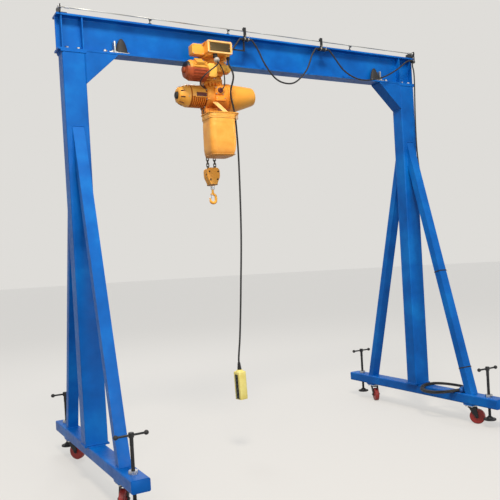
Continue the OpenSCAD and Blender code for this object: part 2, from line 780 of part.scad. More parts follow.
module cable_clips() color(dark) {
    block([clamp_x - 14, festoon_y - 16, festoon_z - 14], [clamp_x + 14, festoon_y + 16, festoon_z - 7]);
    block([clamp_x - 14, festoon_y + 7, festoon_z - 14], [clamp_x + 14, festoon_y + 22, festoon_z + 14]);
    block([clamp_x + 6, festoon_y + 7, festoon_z - 14], [rope_end + bracket_t, festoon_y + 22, festoon_z - 4]);
    block([rope_end, festoon_y + 7, festoon_z - 14], [rope_end + bracket_t, rope_y - 10, rope_z - rope_up]);
    for (z = tie_z) translate([col_x, -brace_y(z) + brace_span/2, z]) rotate([-brace_lean, 0, 0])
        linear_extrude(9) difference() {
            union() {
                square([brace_w + 4, brace_d + 4], center = true);
                translate([brace_w/2, -supply_d/2 - 2]) square([supply_d + 4, supply_d + 4]);
            }
            square([brace_w + 2*seat, brace_d + 2*seat], center = true);
            translate([brace_w/2 + supply_d/2 + 2, 0]) circle(supply_d/2 + 1.4);
        }
}

// Pendant cable, from its gland down to the pendant
pendant_x = trolley_x + gland_x;
pendant_path = [[pendant_x, gland_y, 2999.7], [pendant_x, gland_y, 2984], [pendant_x + 5, gland_y - 2, 2962],
    [pendant_x + 26, gland_y - 4, 2925], [pendant_x + 36, gland_y - 2, 2885], [pendant_x + 33, gland_y + 8, 2845],
    [pendant_x + 25, gland_y + 22, 2805], [pendant_x + 24, gland_y + 34, 2765], [pendant_x + 33, gland_y + 44, 2720],
    [-334, -129, 2680], [-322, -124, 2630], [-314, -121, 2570], [-309, -120, 2480], [-305, -120, 2320],
    [-308, -120, 2103], [-314, -120, 1871], [-322, -120, 1670], [-334, -120, 1485], [-345, -120, 1346],
    [-358, -120, 1177], [-371, -120, 1024], [-385, -120, 880], [-397, -120, 790], [-404, -120, 735],
    [-405, -120, 704]];

module pendant_cable() color(dark) cord(smooth_path(pendant_path, 4), pendant_d);

pendant_size = [68, 76, 215];

pendant_top = pendant_path[len(pendant_path) - 1] - [0, 0, 0.8];

module pendant() color(yellow) translate(pendant_top) rotate([0, -1.5, 10]) {
    translate([0, 0, -70]) cylinder(h = 70, r1 = 16, r2 = 10);
    translate([0, 0, -70 - pendant_size[2]]) round_plate([pendant_size[0], pendant_size[1]], 12, pendant_size[2]);
}

// Supply cable, tied down the right front brace, and its coil on the base beam
coil_x = 1520;
coil_y = -315;
coil_r = 185;

supply_path = [[clamp_x, -88, festoon_z - 15], [clamp_x, -88, 3165], [1588, -88, 3110], [1592, -84, 3000], [1584, -80, 2700],
    [1574, -90, 2400], [1568, -124, 2150], [1568, -205, 1850], [1568, -278, 1580],
    [1568, -brace_y(tie_z[0]) + brace_span/2, tie_z[0] + 4], [1568, -417, 1050], [1568, -496, 760],
    [1568, -brace_y(tie_z[1]) + brace_span/2, tie_z[1] + 4], [1568, -606, 370], [1588, -600, 310],
    [1602, -550, 280], [1598, -505, 268]];

module supply_cable() color(dark) cord(smooth_path(supply_path, 4), supply_d);

module supply_coil() color(dark) translate([coil_x, coil_y, base_top + seat + 18])
    rotate_extrude() translate([coil_r, 0]) round_rect([36, 36], 12);

module supply_plug() color(blue) translate([coil_x, -552, base_top + seat + 27]) {
    bar_x(-20, 55, 27);
    bar_x(-50, -20, 20);
}

girder();
column(left);  // column_left
column(right);  // column_right
haunch(left);  // haunch_left
haunch(right);  // haunch_right
brace(left, front);  // brace_left_front
brace(left, back);  // brace_left_back
brace(right, front);  // brace_right_front
brace(right, back);  // brace_right_back
base_beam(left);  // base_beam_left
base_beam(right);  // base_beam_right
caster_plates();
jack_nuts();
fork(left, front);  // caster_fork_left_front
fork(left, back);  // caster_fork_left_back
fork(right, front);  // caster_fork_right_front
fork(right, back);  // caster_fork_right_back
caster_wheel(left, front);  // caster_wheel_left_front
caster_wheel(left, back);  // caster_wheel_left_back
caster_wheel(right, front);  // caster_wheel_right_front
caster_wheel(right, back);  // caster_wheel_right_back
jack(left, front);  // jack_left_front
jack(left, back);  // jack_left_back
jack(right, front);  // jack_right_front
jack(right, back);  // jack_right_back
end_stops();
end_buffers();
wire_rope();
rope_brackets();
cable_clips();
trolley_plate(front);  // trolley_plate_front
trolley_plate(back);  // trolley_plate_back
trolley_wheels();
trolley_rods();
trolley_motor();
control_box();
cable_glands();
suspension();
hoist_casting();
hoist_motor();
hoist_fan_cover();
hoist_gear_cover();
bag_hanger();
chain_bag();
load_chain();
hook_block();
hook();
hook_latch();
tow_arm();
cable_carrier();
festoon_cable();
pendant_cable();
pendant();
supply_cable();
supply_coil();
supply_plug();
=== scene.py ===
"""Portable gantry crane with an electric chain hoist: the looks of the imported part."""

import math

import bmesh
import bpy
from mathutils import Matrix, Vector


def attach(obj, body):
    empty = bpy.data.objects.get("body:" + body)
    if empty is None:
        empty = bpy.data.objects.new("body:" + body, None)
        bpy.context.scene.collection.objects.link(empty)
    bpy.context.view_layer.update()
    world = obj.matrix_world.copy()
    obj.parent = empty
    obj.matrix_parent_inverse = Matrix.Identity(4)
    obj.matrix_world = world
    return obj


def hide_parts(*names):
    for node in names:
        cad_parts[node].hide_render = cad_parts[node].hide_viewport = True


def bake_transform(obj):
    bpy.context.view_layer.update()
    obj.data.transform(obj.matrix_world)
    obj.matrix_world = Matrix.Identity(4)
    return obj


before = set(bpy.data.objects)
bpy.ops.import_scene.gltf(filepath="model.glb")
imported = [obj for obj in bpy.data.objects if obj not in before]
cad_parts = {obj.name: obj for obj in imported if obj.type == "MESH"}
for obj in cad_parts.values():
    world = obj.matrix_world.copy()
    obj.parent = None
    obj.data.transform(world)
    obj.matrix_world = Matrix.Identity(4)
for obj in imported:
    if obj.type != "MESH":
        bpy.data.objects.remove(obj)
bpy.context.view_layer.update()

MM = 0.001
UP = Vector((0, 0, 1))

# Places in mm that the source shares with this script
CLEAR = 3000
SPAN = 1520
FLANGE = 13
CASTER_Y = 635
JACK_Y = 815
BEAM_END = 940
AXLE_Z = 62.5
WHEEL_Z = CLEAR + 53.3
PLATE_FACE = 78
TROLLEY = Vector((-450, 0, CLEAR))
HOIST_Z = CLEAR - 243
HOOK_X = -485
BLOCK_TOP = 2210
BLOCK_LOW = 2073
BOWL_Z = 1963
BOWL_R = 24
FALL = 30


# Nodes and finishes

def colour(text):
    """An sRGB hex colour as the linear values that a socket takes."""
    parts = [int(text[i:i + 2], 16) / 255 for i in (1, 3, 5)]
    return [p / 12.92 if p <= 0.04045 else ((p + 0.055) / 1.055) ** 2.4 for p in parts] + [1]


def add(tree, kind, settings=None, links=None):
    """Adds a node. links gives an input its value, or the output that feeds it."""
    made = tree.nodes.new(kind)
    for name, value in (settings or {}).items():
        setattr(made, name, value)
    for name, value in (links or {}).items():
        if isinstance(value, bpy.types.NodeSocket):
            tree.links.new(value, made.inputs[name])
        else:
            made.inputs[name].default_value = value
    return made


def started(name, metallic, roughness, **sockets):
    """A material with its shader and Object coordinates, ready for its patterns."""
    made = bpy.data.materials.new(name)
    made.use_nodes = True
    tree = made.node_tree
    tree.nodes.clear()
    shader = add(tree, "ShaderNodeBsdfPrincipled",
                 links={"Metallic": metallic, "Roughness": roughness, **sockets})
    add(tree, "ShaderNodeOutputMaterial", links={"Surface": shader.outputs["BSDF"]})
    place = add(tree, "ShaderNodeTexCoord").outputs["Object"]
    return made, tree, shader, place


def ramped(tree, factor, stops):
    """A colour ramp through (position, hex) stops."""
    ramp = add(tree, "ShaderNodeValToRGB", links={"Fac": factor})
    marks = ramp.color_ramp.elements
    while len(marks) < len(stops):
        marks.new(0.5)
    for mark, (where, text) in zip(marks, stops):
        mark.position = where
        mark.color = colour(text)
    return ramp.outputs["Color"]


def enamel(name, base, shade, pale, chip, roughness, peel_mm, peel_depth, sheen=0.5, painted_underside_shade=None):
    """Sprayed paint over steel or cast iron: broad patches from handling, a fine orange peel, small chips.
    The last argument is the tone of a painted shade on the surfaces that face down, away from the light
    above."""
    made, tree, shader, place = started(name, 0.0, roughness, IOR=1.42, **{"Specular IOR Level": sheen})
    broad = add(tree, "ShaderNodeTexNoise",
                links={"Vector": place, "Scale": 1000 / 260, "Detail": 4, "Roughness": 0.55})
    tone = ramped(tree, broad.outputs["Fac"], [(0.3, shade), (0.52, base), (0.74, pale)])
    marks = add(tree, "ShaderNodeTexNoise",
                links={"Vector": place, "Scale": 1000 / 34, "Detail": 6, "Roughness": 0.75})
    worn = add(tree, "ShaderNodeMapRange",
               links={"Value": marks.outputs["Fac"], "From Min": 0.69, "From Max": 0.73})
    mixed = add(tree, "ShaderNodeMix", {"data_type": "RGBA"}, {0: worn.outputs[0], 6: tone, 7: colour(chip)})
    # Painted shade: the surfaces that face down are mixed toward a darker tone
    if painted_underside_shade:
        facing = add(tree, "ShaderNodeSeparateXYZ",
                     links={0: add(tree, "ShaderNodeNewGeometry").outputs["Normal"]})
        under = add(tree, "ShaderNodeMapRange",
                    links={"Value": facing.outputs[2], "From Min": 0.0, "From Max": -0.8,
                                                      "To Min": 0.0, "To Max": 0.55})
        mixed = add(tree, "ShaderNodeMix", {"data_type": "RGBA"},
                    {0: under.outputs[0], 6: mixed.outputs[2], 7: colour(painted_underside_shade)})
    tree.links.new(mixed.outputs[2], shader.inputs["Base Color"])
    gloss = add(tree, "ShaderNodeMapRange",
                links={"Value": marks.outputs["Fac"], "From Min": 0.35, "From Max": 0.7,
                                                  "To Min": roughness - 0.07, "To Max": roughness + 0.14})
    tree.links.new(gloss.outputs[0], shader.inputs["Roughness"])
    peel = add(tree, "ShaderNodeTexNoise", links={"Vector": place, "Scale": 1000 / peel_mm, "Detail": 3})
    bump = add(tree, "ShaderNodeBump",
               links={"Height": peel.outputs["Fac"], "Strength": 0.35, "Distance": peel_depth * MM})
    tree.links.new(bump.outputs["Normal"], shader.inputs["Normal"])
    return made


def two_tone(name, height_mm, lower, upper):
    """One of two finishes below a level and the other above it, with an uneven line between them."""
    made, tree, shader, place = started(name, 0.0, 0.45, IOR=1.42, **{"Specular IOR Level": 0.35})
    level = add(tree, "ShaderNodeSeparateXYZ", links={0: place})
    edge = add(tree, "ShaderNodeMapRange",
               links={"Value": level.outputs[2], "From Min": (height_mm - 6) * MM,
                                                 "From Max": (height_mm + 6) * MM})
    broad = add(tree, "ShaderNodeTexNoise",
                links={"Vector": place, "Scale": 1000 / 60, "Detail": 5, "Roughness": 0.7})
    low = ramped(tree, broad.outputs["Fac"], [(0.3, lower[1]), (0.7, lower[0])])
    high = ramped(tree, broad.outputs["Fac"], [(0.3, upper[1]), (0.7, upper[0])])
    mixed = add(tree, "ShaderNodeMix", {"data_type": "RGBA"}, {0: edge.outputs[0], 6: low, 7: high})
    tree.links.new(mixed.outputs[2], shader.inputs["Base Color"])
    peel = add(tree, "ShaderNodeTexNoise", links={"Vector": place, "Scale": 1000 / 2.5, "Detail": 3})
    bump = add(tree, "ShaderNodeBump",
               links={"Height": peel.outputs["Fac"], "Strength": 0.35, "Distance": 0.4 * MM})
    tree.links.new(bump.outputs["Normal"], shader.inputs["Normal"])
    return made


def metal(name, base, shade, roughness, grain_mm):
    """Bare or plated steel: a fine grain in its tone and gloss."""
    made, tree, shader, place = started(name, 1.0, roughness)
    grain = add(tree, "ShaderNodeTexNoise",
                links={"Vector": place, "Scale": 1000 / grain_mm, "Detail": 5, "Roughness": 0.7})
    tree.links.new(ramped(tree, grain.outputs["Fac"], [(0.35, shade), (0.65, base)]),
                   shader.inputs["Base Color"])
    gloss = add(tree, "ShaderNodeMapRange",
                links={"Value": grain.outputs["Fac"], "From Min": 0.3, "From Max": 0.7,
                                                  "To Min": roughness - 0.08, "To Max": roughness + 0.12})
    tree.links.new(gloss.outputs[0], shader.inputs["Roughness"])
    bump = add(tree, "ShaderNodeBump",
               links={"Height": grain.outputs["Fac"], "Strength": 0.25, "Distance": 0.1 * MM})
    tree.links.new(bump.outputs["Normal"], shader.inputs["Normal"])
    return made


def moulded(name, base, shade, roughness, grain_mm):
    """Moulded rubber or plastic: even colour with a faint bloom and a fine matt grain."""
    made, tree, shader, place = started(name, 0.0, roughness)
    bloom = add(tree, "ShaderNodeTexNoise", links={"Vector": place, "Scale": 1000 / 45, "Detail": 3})
    tree.links.new(ramped(tree, bloom.outputs["Fac"], [(0.3, shade), (0.7, base)]),
                   shader.inputs["Base Color"])
    grain = add(tree, "ShaderNodeTexNoise", links={"Vector": place, "Scale": 1000 / grain_mm, "Detail": 2})
    bump = add(tree, "ShaderNodeBump",
               links={"Height": grain.outputs["Fac"], "Strength": 0.2, "Distance": 0.15 * MM})
    tree.links.new(bump.outputs["Normal"], shader.inputs["Normal"])
    return made


def coated_cloth(name, base, shade, pale):
    """Polyvinyl-coated polyester cloth: a plain weave shows through the coat, which creases pale."""
    made, tree, shader, place = started(name, 0.0, 0.55, **{"Sheen Weight": 0.15, "Sheen Roughness": 0.5})
    broad = add(tree, "ShaderNodeTexNoise", links={"Vector": place, "Scale": 1000 / 90, "Detail": 4})
    cover = ramped(tree, broad.outputs["Fac"], [(0.3, shade), (0.5, base), (0.75, pale)])
    # Darker towards the bottom, over the lowest hand's width
    level = add(tree, "ShaderNodeSeparateXYZ", links={0: place})
    darker_low = add(tree, "ShaderNodeMapRange", links={"Value": level.outputs[2], "From Min": 2360 * MM,
                                                   "From Max": 2290 * MM, "To Max": 0.6})
    tree.links.new(add(tree, "ShaderNodeMix", {"data_type": "RGBA"}, {0: darker_low.outputs[0], 6: cover,
                                                                      7: colour("#bf7418")}).outputs[2],
                   shader.inputs["Base Color"])
    # Threads are 1 mm apart in the real cloth. A scale of 40 puts them 7.9 mm apart, so that they show
    weave = None
    for way in ("X", "Z"):
        wave = add(tree, "ShaderNodeTexWave", {"bands_direction": way, "wave_profile": "SIN"},
                   {"Vector": place, "Scale": 40, "Distortion": 0.4, "Detail": 1})
        weave = wave.outputs["Fac"] if weave is None else add(
            tree, "ShaderNodeMath", {"operation": "MULTIPLY"}, {0: weave, 1: wave.outputs["Fac"]}).outputs[0]
    bump = add(tree, "ShaderNodeBump", links={"Height": weave, "Strength": 0.35, "Distance": 0.3 * MM})
    tree.links.new(bump.outputs["Normal"], shader.inputs["Normal"])
    return made


# Gloss alkyd enamel brushed over rolled and welded steel: deep blue with paler scuffs
BLUE = enamel("blue_alkyd_enamel", "#0660b6", "#0451a0", "#0e74c8", "#3580c4", 0.4, 5, 0.25, 0.2)
# Two-pack paint over sand-cast iron: warm orange with a coarse skin and brownish pits, and a painted
# red-brown shade on its undersides
ORANGE = enamel("orange_paint_on_cast_iron", "#f29d35", "#e48a2a", "#f8b04c", "#b9672a", 0.42, 2.5, 0.5,
                0.35, "#c8501f")
# The same paint over smooth pressed covers
COVER = enamel("orange_paint_on_pressed_steel", "#f2a83f", "#ea9932", "#f8b958", "#dd9440", 0.36, 6, 0.15,
               0.35)
# Paler yellow paint of the trolley's gearcase and of the hook, with a painted red-brown shade on its
# undersides
YELLOW = enamel("yellow_paint_on_cast_iron", "#f3b545", "#e59f33", "#f9ca66", "#c07a30", 0.4, 2.5, 0.4, 0.35,
                "#c04a22")
# The trolley's motor: yellow above its axis, with a painted red-brown shade below it. Its fan end is dark
# above, with the same painted shade below
MOTOR = two_tone("yellow_paint_and_painted_shade_below", 2914, ("#c25c31", "#98401f"), ("#dfa545", "#cf8d30"))
MOTOR_END = two_tone("dark_above_and_painted_shade_below", 2922, ("#b9592c", "#7c3419"), ("#2a2322", "#191517"))
# Black powder coat on pressed steel: fine dimples, dusty where flat
BLACK = enamel("black_powder_coat", "#1c1d20", "#141517", "#292a2d", "#4a4640", 0.45, 1.5, 0.2)
# Zinc-plated steel of the bolts: pale, slightly blue, semi-matt
ZINC = metal("zinc_plated_steel", "#c4c6c8", "#98999b", 0.36, 1.2)
# Galvanised steel of the wire rope and the end stops: duller than zinc plate
GALVANISED = metal("galvanised_steel_wire", "#c9cbc8", "#9ea19f", 0.42, 2)
# Case-hardened chain and turned steel: darker, with oil in the low places
CHAIN = metal("hardened_chain_steel", "#6b665f", "#35312d", 0.36, 1.5)
# Chloroprene sheath of the cables: black, matt, a grey bloom
SHEATH = moulded("chloroprene_cable_sheath", "#1b1b1d", "#121213", 0.62, 0.8)
# Moulded rubber of the buffers, knobs, seals and boots: black, matt
RUBBER = moulded("moulded_black_rubber", "#202022", "#151516", 0.7, 1.2)
# Cast polyurethane tread: dark red, satin
TREAD = moulded("red_polyurethane", "#a32c26", "#80201d", 0.45, 1.0)
# Pale cream paint of the bag's arm, and a painted highlight along the rim of the control box
PALE_PAINT_AND_HIGHLIGHT = moulded("pale_paint_and_painted_highlight", "#f6cd88", "#e6b566", 0.45, 1.5)
# Painted shade: the brown of the motor's shell between the fins, where the fins shade it
FIN_GAP_SHADE = enamel("painted_shade_between_fins", "#a8521f", "#8e4119", "#c06c2c", "#6e3517", 0.6, 2.5, 0.5, 0.2)
# Nylon of the ties and the pale gland cap
NYLON = moulded("grey_nylon", "#bfbdb6", "#a5a39c", 0.5, 0.8)
# Glass-filled nylon of the pendant's case: yellow, satin
PENDANT = moulded("yellow_glass_filled_nylon", "#efe38c", "#e2d06e", 0.42, 0.8)
# Aluminium plate on the hoist's motor, under a film of red-brown oil
GRIMY = moulded("oil_stained_plate", "#6a2b1c", "#47190f", 0.45, 1.5)
# Anodised plate in the recess of the control box, bare
PLATE = metal("dark_anodised_plate", "#6d5c40", "#51452f", 0.45, 1.0)
# Moulded polyamide of the plug: blue, satin
PLUG = moulded("blue_polyamide", "#2467b0", "#1b5596", 0.4, 0.8)
# Folded edges and piping of the same cloth, rubbed paler
PIPING = coated_cloth("rubbed_yellow_cloth", "#fbc25f", "#f3b04a", "#ffd07a")
CLOTH = coated_cloth("yellow_coated_cloth", "#efa538", "#e3932c", "#f5b54c")


# Modelling

def ready():
    """Back to object mode with nothing selected."""
    if bpy.context.mode != "OBJECT":
        bpy.ops.object.mode_set(mode="OBJECT")
    bpy.ops.object.select_all(action="DESELECT")


def held(o):
    """Selects one object and makes it the active one."""
    ready()
    o.select_set(True)
    bpy.context.view_layer.objects.active = o
    return o


def baked():
    """Puts the active object's place into its mesh."""
    bpy.ops.object.transform_apply(location=True, rotation=True, scale=True)
    return bpy.context.object


def pick(kind, test):
    """In edit mode, selects the faces, edges or verts that pass the test, and nothing else."""
    bpy.ops.mesh.select_mode(type={"faces": "FACE", "edges": "EDGE", "verts": "VERT"}[kind])
    bpy.ops.mesh.select_all(action="DESELECT")
    shape = bmesh.from_edit_mesh(bpy.context.object.data)
    for part in getattr(shape, kind):
        if test(part):
            part.select_set(True)
    bmesh.update_edit_mesh(bpy.context.object.data)


def altered(o, kind, **settings):
    """Adds a modifier and applies it."""
    held(o)
    made = o.modifiers.new(kind.lower(), kind)
    for name, value in settings.items():
        setattr(made, name, value)
    bpy.ops.object.modifier_apply(modifier=made.name)
    return o


def softened(o, width, segments=2, angle=30):
    """Rounds the edges that are sharper than an angle."""
    return altered(o, "BEVEL", width=width * MM, segments=segments, limit_method="ANGLE",
                   angle_limit=math.radians(angle))


def turned(profile, centre, along, sides=48):
    """A turned piece: a disc, extruded and scaled along its axis through (distance, radius) pairs."""
    ready()
    axis = Vector(along).normalized()
    at = (Vector(centre) + axis * profile[0][0]) * MM
    bpy.ops.mesh.primitive_circle_add(vertices=sides, radius=profile[0][1] * MM, fill_type="NGON",
                                      location=at, rotation=axis.to_track_quat("Z", "Y").to_euler())
    baked()
    bpy.ops.object.mode_set(mode="EDIT")
    bpy.ops.mesh.select_all(action="SELECT")
    for (last, before), (distance, radius) in zip(profile, profile[1:]):
        step = axis * (distance - last) * MM
        bpy.ops.mesh.extrude_region_move(TRANSFORM_OT_translate={"value": step})
        at = at + step
        if radius != before:
            bpy.ops.transform.resize(value=[radius / before] * 3, center_override=at)
    bpy.ops.mesh.select_all(action="SELECT")
    bpy.ops.mesh.normals_make_consistent(inside=False)
    bpy.ops.object.mode_set(mode="OBJECT")
    return bpy.context.object


def block(low, high, soft=0.0):
    """A block between two corners, with its edges rounded."""
    ready()
    a, b = Vector(low) * MM, Vector(high) * MM
    bpy.ops.mesh.primitive_cube_add(size=1, location=(a + b) / 2)
    bpy.context.object.scale = b - a
    made = baked()
    if soft:
        bpy.ops.object.mode_set(mode="EDIT")
        bpy.ops.mesh.select_all(action="SELECT")
        bpy.ops.mesh.bevel(offset=soft * MM, segments=2, affect="EDGES")
        bpy.ops.object.mode_set(mode="OBJECT")
    return made


def plate(outline, thick, soft=0.0):
    """A plate: a flat face with its corners moved to an outline of 3-D points, extruded by a vector."""
    ready()
    bpy.ops.mesh.primitive_circle_add(vertices=len(outline), radius=1, fill_type="NGON")
    made = bpy.context.object
    for vertex, point in zip(made.data.vertices, outline):
        vertex.co = Vector(point) * MM
    bpy.ops.object.mode_set(mode="EDIT")
    bpy.ops.mesh.select_all(action="SELECT")
    bpy.ops.mesh.extrude_region_move(TRANSFORM_OT_translate={"value": Vector(thick) * MM})
    bpy.ops.mesh.select_all(action="SELECT")
    bpy.ops.mesh.normals_make_consistent(inside=False)
    if soft:
        bpy.ops.mesh.bevel(offset=soft * MM, segments=2, affect="EDGES")
    bpy.ops.object.mode_set(mode="OBJECT")
    return made


def route(points, steps):
    """A smooth line through points: the same curve that the source uses for its cords."""
    p = [Vector(q) for q in points]
    line = []
    for i in range(len(p) - 1):
        a, b, c, d = p[max(i - 1, 0)], p[i], p[i + 1], p[min(i + 2, len(p) - 1)]
        for k in range(steps):
            t = k / steps
            line.append(0.5 * (2 * b + (c - a) * t + (2 * a - 5 * b + 4 * c - d) * t * t
                               + (3 * b - a - 3 * c + d) * t * t * t))
    return line + [p[-1]]


def strand(name, line, radii, sides=12, closed=False):
    """A round bar along a line, as a curve. radii is one radius, or one for each point."""
    made = bpy.data.curves.new(name, "CURVE")
    made.dimensions = "3D"
    made.bevel_depth = MM
    made.bevel_resolution = max(0, (sides - 4) // 2)
    made.use_fill_caps = True
    spline = made.splines.new("POLY")
    spline.points.add(len(line) - 1)
    spline.use_cyclic_u = closed
    for i, (point, place) in enumerate(zip(spline.points, line)):
        point.co = (*(Vector(place) * MM), 1)
        point.radius = radii if isinstance(radii, (int, float)) else radii[i]
    o = bpy.data.objects.new(name, made)
    bpy.context.scene.collection.objects.link(o)
    return o


def bar(line, radii, sides=12, closed=False):
    """A strand made a mesh."""
    held(strand("bar", line, radii, sides, closed))
    bpy.ops.object.convert(target="MESH")
    return bpy.context.object


def joined(pieces):
    """Joins pieces into the first of them."""
    ready()
    for o in pieces:
        o.select_set(True)
    bpy.context.view_layer.objects.active = pieces[0]
    bpy.ops.object.join()
    return pieces[0]


def repeated(o, places):
    """A piece at each of some places, each copy with its own mesh, joined into one."""
    shape = o.data.copy()
    copies = []
    for i, place in enumerate(places):
        copy = o if i == 0 else o.copy()
        copy.data = shape.copy()
        copy.data.transform(place)
        if place.determinant() < 0:
            copy.data.flip_normals()
        if i:
            bpy.context.scene.collection.objects.link(copy)
        copies.append(copy)
    return joined(copies)


def spot(point, facing=(0, 0, 1), turn=0.0, size=1.0):
    """The place of a small part modelled at the origin and facing up."""
    away = Vector(facing).to_track_quat("Z", "Y").to_matrix().to_4x4()
    return (Matrix.Translation(Vector(point) * MM) @ away @ Matrix.Rotation(math.radians(turn), 4, "Z")
            @ Matrix.Scale(size, 4))


def finished(o, name, finish, slot, stands_for=(), smooth=35):
    """Names a piece, gives it its finish and hides the nodes that it stands for."""
    held(o)
    if o.type == "MESH":
        bpy.ops.object.shade_smooth_by_angle(angle=math.radians(smooth))
    o.name = name
    o.data.name = name
    o.data.materials.clear()
    o.data.materials.append(finish)
    if stands_for:
        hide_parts(*stands_for)
    return o


def dressed(o, name, body, *looks, **more):
    """Finishes a piece and hangs it on its body."""
    finished(o, name, *looks, **more)
    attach(o, body)
    return o


# Cords

COIL = Vector((SPAN, -315, 256.6))
PLUG_AT = Vector((1468, -552, 277.3))


def eased(t):
    """A smooth step from 0 to 1."""
    t = min(1, max(0, t))
    return t * t * (3 - 2 * t)


def laid_line():
    """The supply cable: down the column and the brace, then 4.6 turns of coil on the beam and into its plug.
    Each turn eases to its own radius and height, and it sags where the beam doesn't carry it."""
    down = route([(1576, -88, 3194), (1576, -88, 3165), (1588, -88, 3110), (1592, -84, 3000),
                  (1584, -80, 2700), (1574, -90, 2400), (1568, -124, 2150), (1568, -205, 1850),
                  (1568, -278, 1580), (1568, -352.7, 1288), (1568, -417, 1050), (1568, -496, 760),
                  (1568, -575.1, 466), (1569, -606, 366), (1584, -604, 308), (1612, -560, 279),
                  (1650, -492, 268), (1680, -442, 262), (1700, -403, 257)], 5)
    coil = []
    for turned_by in range(12, 1669, 12):
        radius, lift = 197.0, 0.0
        for start, toward, up in ((270, 185, 0), (630, 173, 0), (990, 179, 10.4), (1350, 191, 10.4)):
            t = eased((turned_by - start) / 70)
            radius += (toward - radius) * t
            lift += (up - lift) * t
            lift += 2.0 * math.sin(math.pi * t) * (start == 1350)
        angle = math.radians(turned_by - 25)
        x, y = COIL.x + radius * math.cos(angle), COIL.y + radius * math.sin(angle)
        sag = 16 * (max(0, abs(x - COIL.x) - 55) / 145) ** 1.6
        coil.append((x, y, COIL.z + lift - sag))
    last = Vector(coil[-1])
    tail = route([coil[-1], (last.x + 20, last.y - 36, last.z + 7), (1406, -497, 270), (1430, -529, 275),
                  (1449, -546, 277), PLUG_AT], 4)[1:]
    return down + [Vector(p) for p in coil] + tail


supply_line = laid_line()
supply = strand("supply_cable_laid", supply_line, 6, 14)
plug = joined([
    turned([(0, 18), (4, 25.5), (40, 26.8), (62, 26.8), (70, 24), (75, 22)], PLUG_AT + Vector((32, 0, 0)),
           (1, 0, 0)),
    turned([(0, 12), (3, 14), (22, 19.5), (34, 20), (36, 17)], PLUG_AT, (1, 0, 0)),
    turned([(0, 21.5), (6, 21.5), (6.5, 19), (11, 19), (11.5, 21.5), (18, 21.5)],
           PLUG_AT + Vector((15, 0, 0)), (1, 0, 0), 24)])
dressed(plug, "supply_plug_shell", "frame", PLUG, "blue_plastic", ["supply_plug"])
dressed(supply, "supply_cable_laid", "frame", SHEATH, "cable_rubber", ["supply_cable", "supply_coil"])

pendant_line = route([(-380, -180, 2999.7), (-380, -180, 2984), (-375, -182, 2962), (-354, -184, 2925),
                      (-344, -182, 2885), (-347, -172, 2845), (-355, -158, 2805), (-356, -146, 2765),
                      (-347, -136, 2720), (-334, -129, 2680), (-322, -124, 2630), (-314, -121, 2570),
                      (-309, -120, 2480), (-305, -120, 2320), (-308, -120, 2103), (-314, -120, 1871),
                      (-322, -120, 1670), (-334, -120, 1485), (-345, -120, 1346), (-358, -120, 1177),
                      (-371, -120, 1024), (-385, -120, 880), (-397, -120, 790), (-404, -120, 735),
                      (-405, -120, 704), (-403.7, -120, 653), (-402.4, -120, 603), (-401.1, -120, 553)], 5)
pendant_cord = strand("pendant_cable_hung", pendant_line, 7, 14)
dressed(pendant_cord, "pendant_cable_hung", "trolley", SHEATH, "cable_rubber", ["pendant_cable"])

festoon_points = [(1576, -96, 3209), (1500, -98, 3197), (1370, -104, 3110), (1180, -106, 3020),
                  (960, -106, 2985), (790, -104, 3040), (680, -98, 3160), (636, -96, 3209), (612, -96, 3209),
                  (524, -96, 3209), (500, -96, 3209), (455, -100, 3150), (390, -104, 3020),
                  (280, -106, 2915), (180, -106, 2892), (80, -106, 2925), (-10, -104, 3030),
                  (-65, -100, 3140), (-113, -96, 3209), (-135, -96, 3209), (-199, -96, 3209),
                  (-221, -96, 3209), (-270, -108, 3150), (-320, -126, 3096), (-350, -128, 3090),
                  (-362.4, -128, 3090)]
festoon_line = route(festoon_points, 6)
festoon = finished(bar(festoon_line, 6.5, 12), "festoon_cable_looped", SHEATH, "cable_rubber",
                   ["festoon_cable"], 40)
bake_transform(festoon)


# Small parts, modelled once at the origin, facing up, for a 10 mm bolt

def hex_bolt():
    """A washer, a chamfered hexagon head and the end of a nut's thread."""
    return joined([turned([(0, 9.6), (0.4, 10), (1.8, 10), (2.2, 9.6)], (0, 0, 0), UP, 20),
                   turned([(2.2, 9.3), (7.2, 9.3), (8.4, 8.2)], (0, 0, 0), UP, 6)])


def hex_nut():
    """A washer and a nut with the thread's end standing out of it."""
    return joined([turned([(0, 9.6), (0.4, 10), (1.8, 10), (2.2, 9.6)], (0, 0, 0), UP, 20),
                   turned([(2.2, 8.6), (3, 9.3), (9.4, 9.3), (10.2, 8.6)], (0, 0, 0), UP, 6),
                   turned([(10, 5), (13, 5), (14, 4.2)], (0, 0, 0), UP, 16)])


def cap_screw():
    """A socket cap screw with its hexagon socket."""
    return turned([(0, 7.6), (0.4, 8), (8.6, 8), (9.4, 7.4), (9.4, 4.6), (4, 4.6)], (0, 0, 0), UP, 20)


def pan_screw():
    """A low round screw head."""
    return turned([(0, 8), (1.5, 8), (3.5, 6.6), (4.6, 3.6)], (0, 0, 0), UP, 16)


def fixed(make, places, name, body, finish, slot):
    """One kind of screw at all its places on a body."""
    return dressed(repeated(make(), places), name, body, finish, slot, smooth=30)


# Frame: finishes of the source's own pieces

def coat(finish, *names):
    """Gives nodes a finish."""
    for name in names:
        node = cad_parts[name]
        if node.data.materials:
            node.data.materials[0] = finish
        else:
            node.data.materials.append(finish)


SIDES = {"left": -1, "right": 1}
ENDS = {"front": -1, "back": 1}
corners = [(s, e) for s in SIDES for e in ENDS]
coat(BLUE, "girder", "column_left", "column_right", "haunch_left", "haunch_right", "base_beam_left",
     "base_beam_right", *[f"brace_{s}_{e}" for s, e in corners])
coat(ZINC, "caster_plates", "jack_nuts", "trolley_rods")
coat(COVER, "bag_hanger", "suspension")
coat(BLACK, "rope_brackets", "cable_clips", "cable_carrier", "tow_arm")
coat(ORANGE, "trolley_plate_front", "trolley_plate_back")
coat(CHAIN, "trolley_wheels")


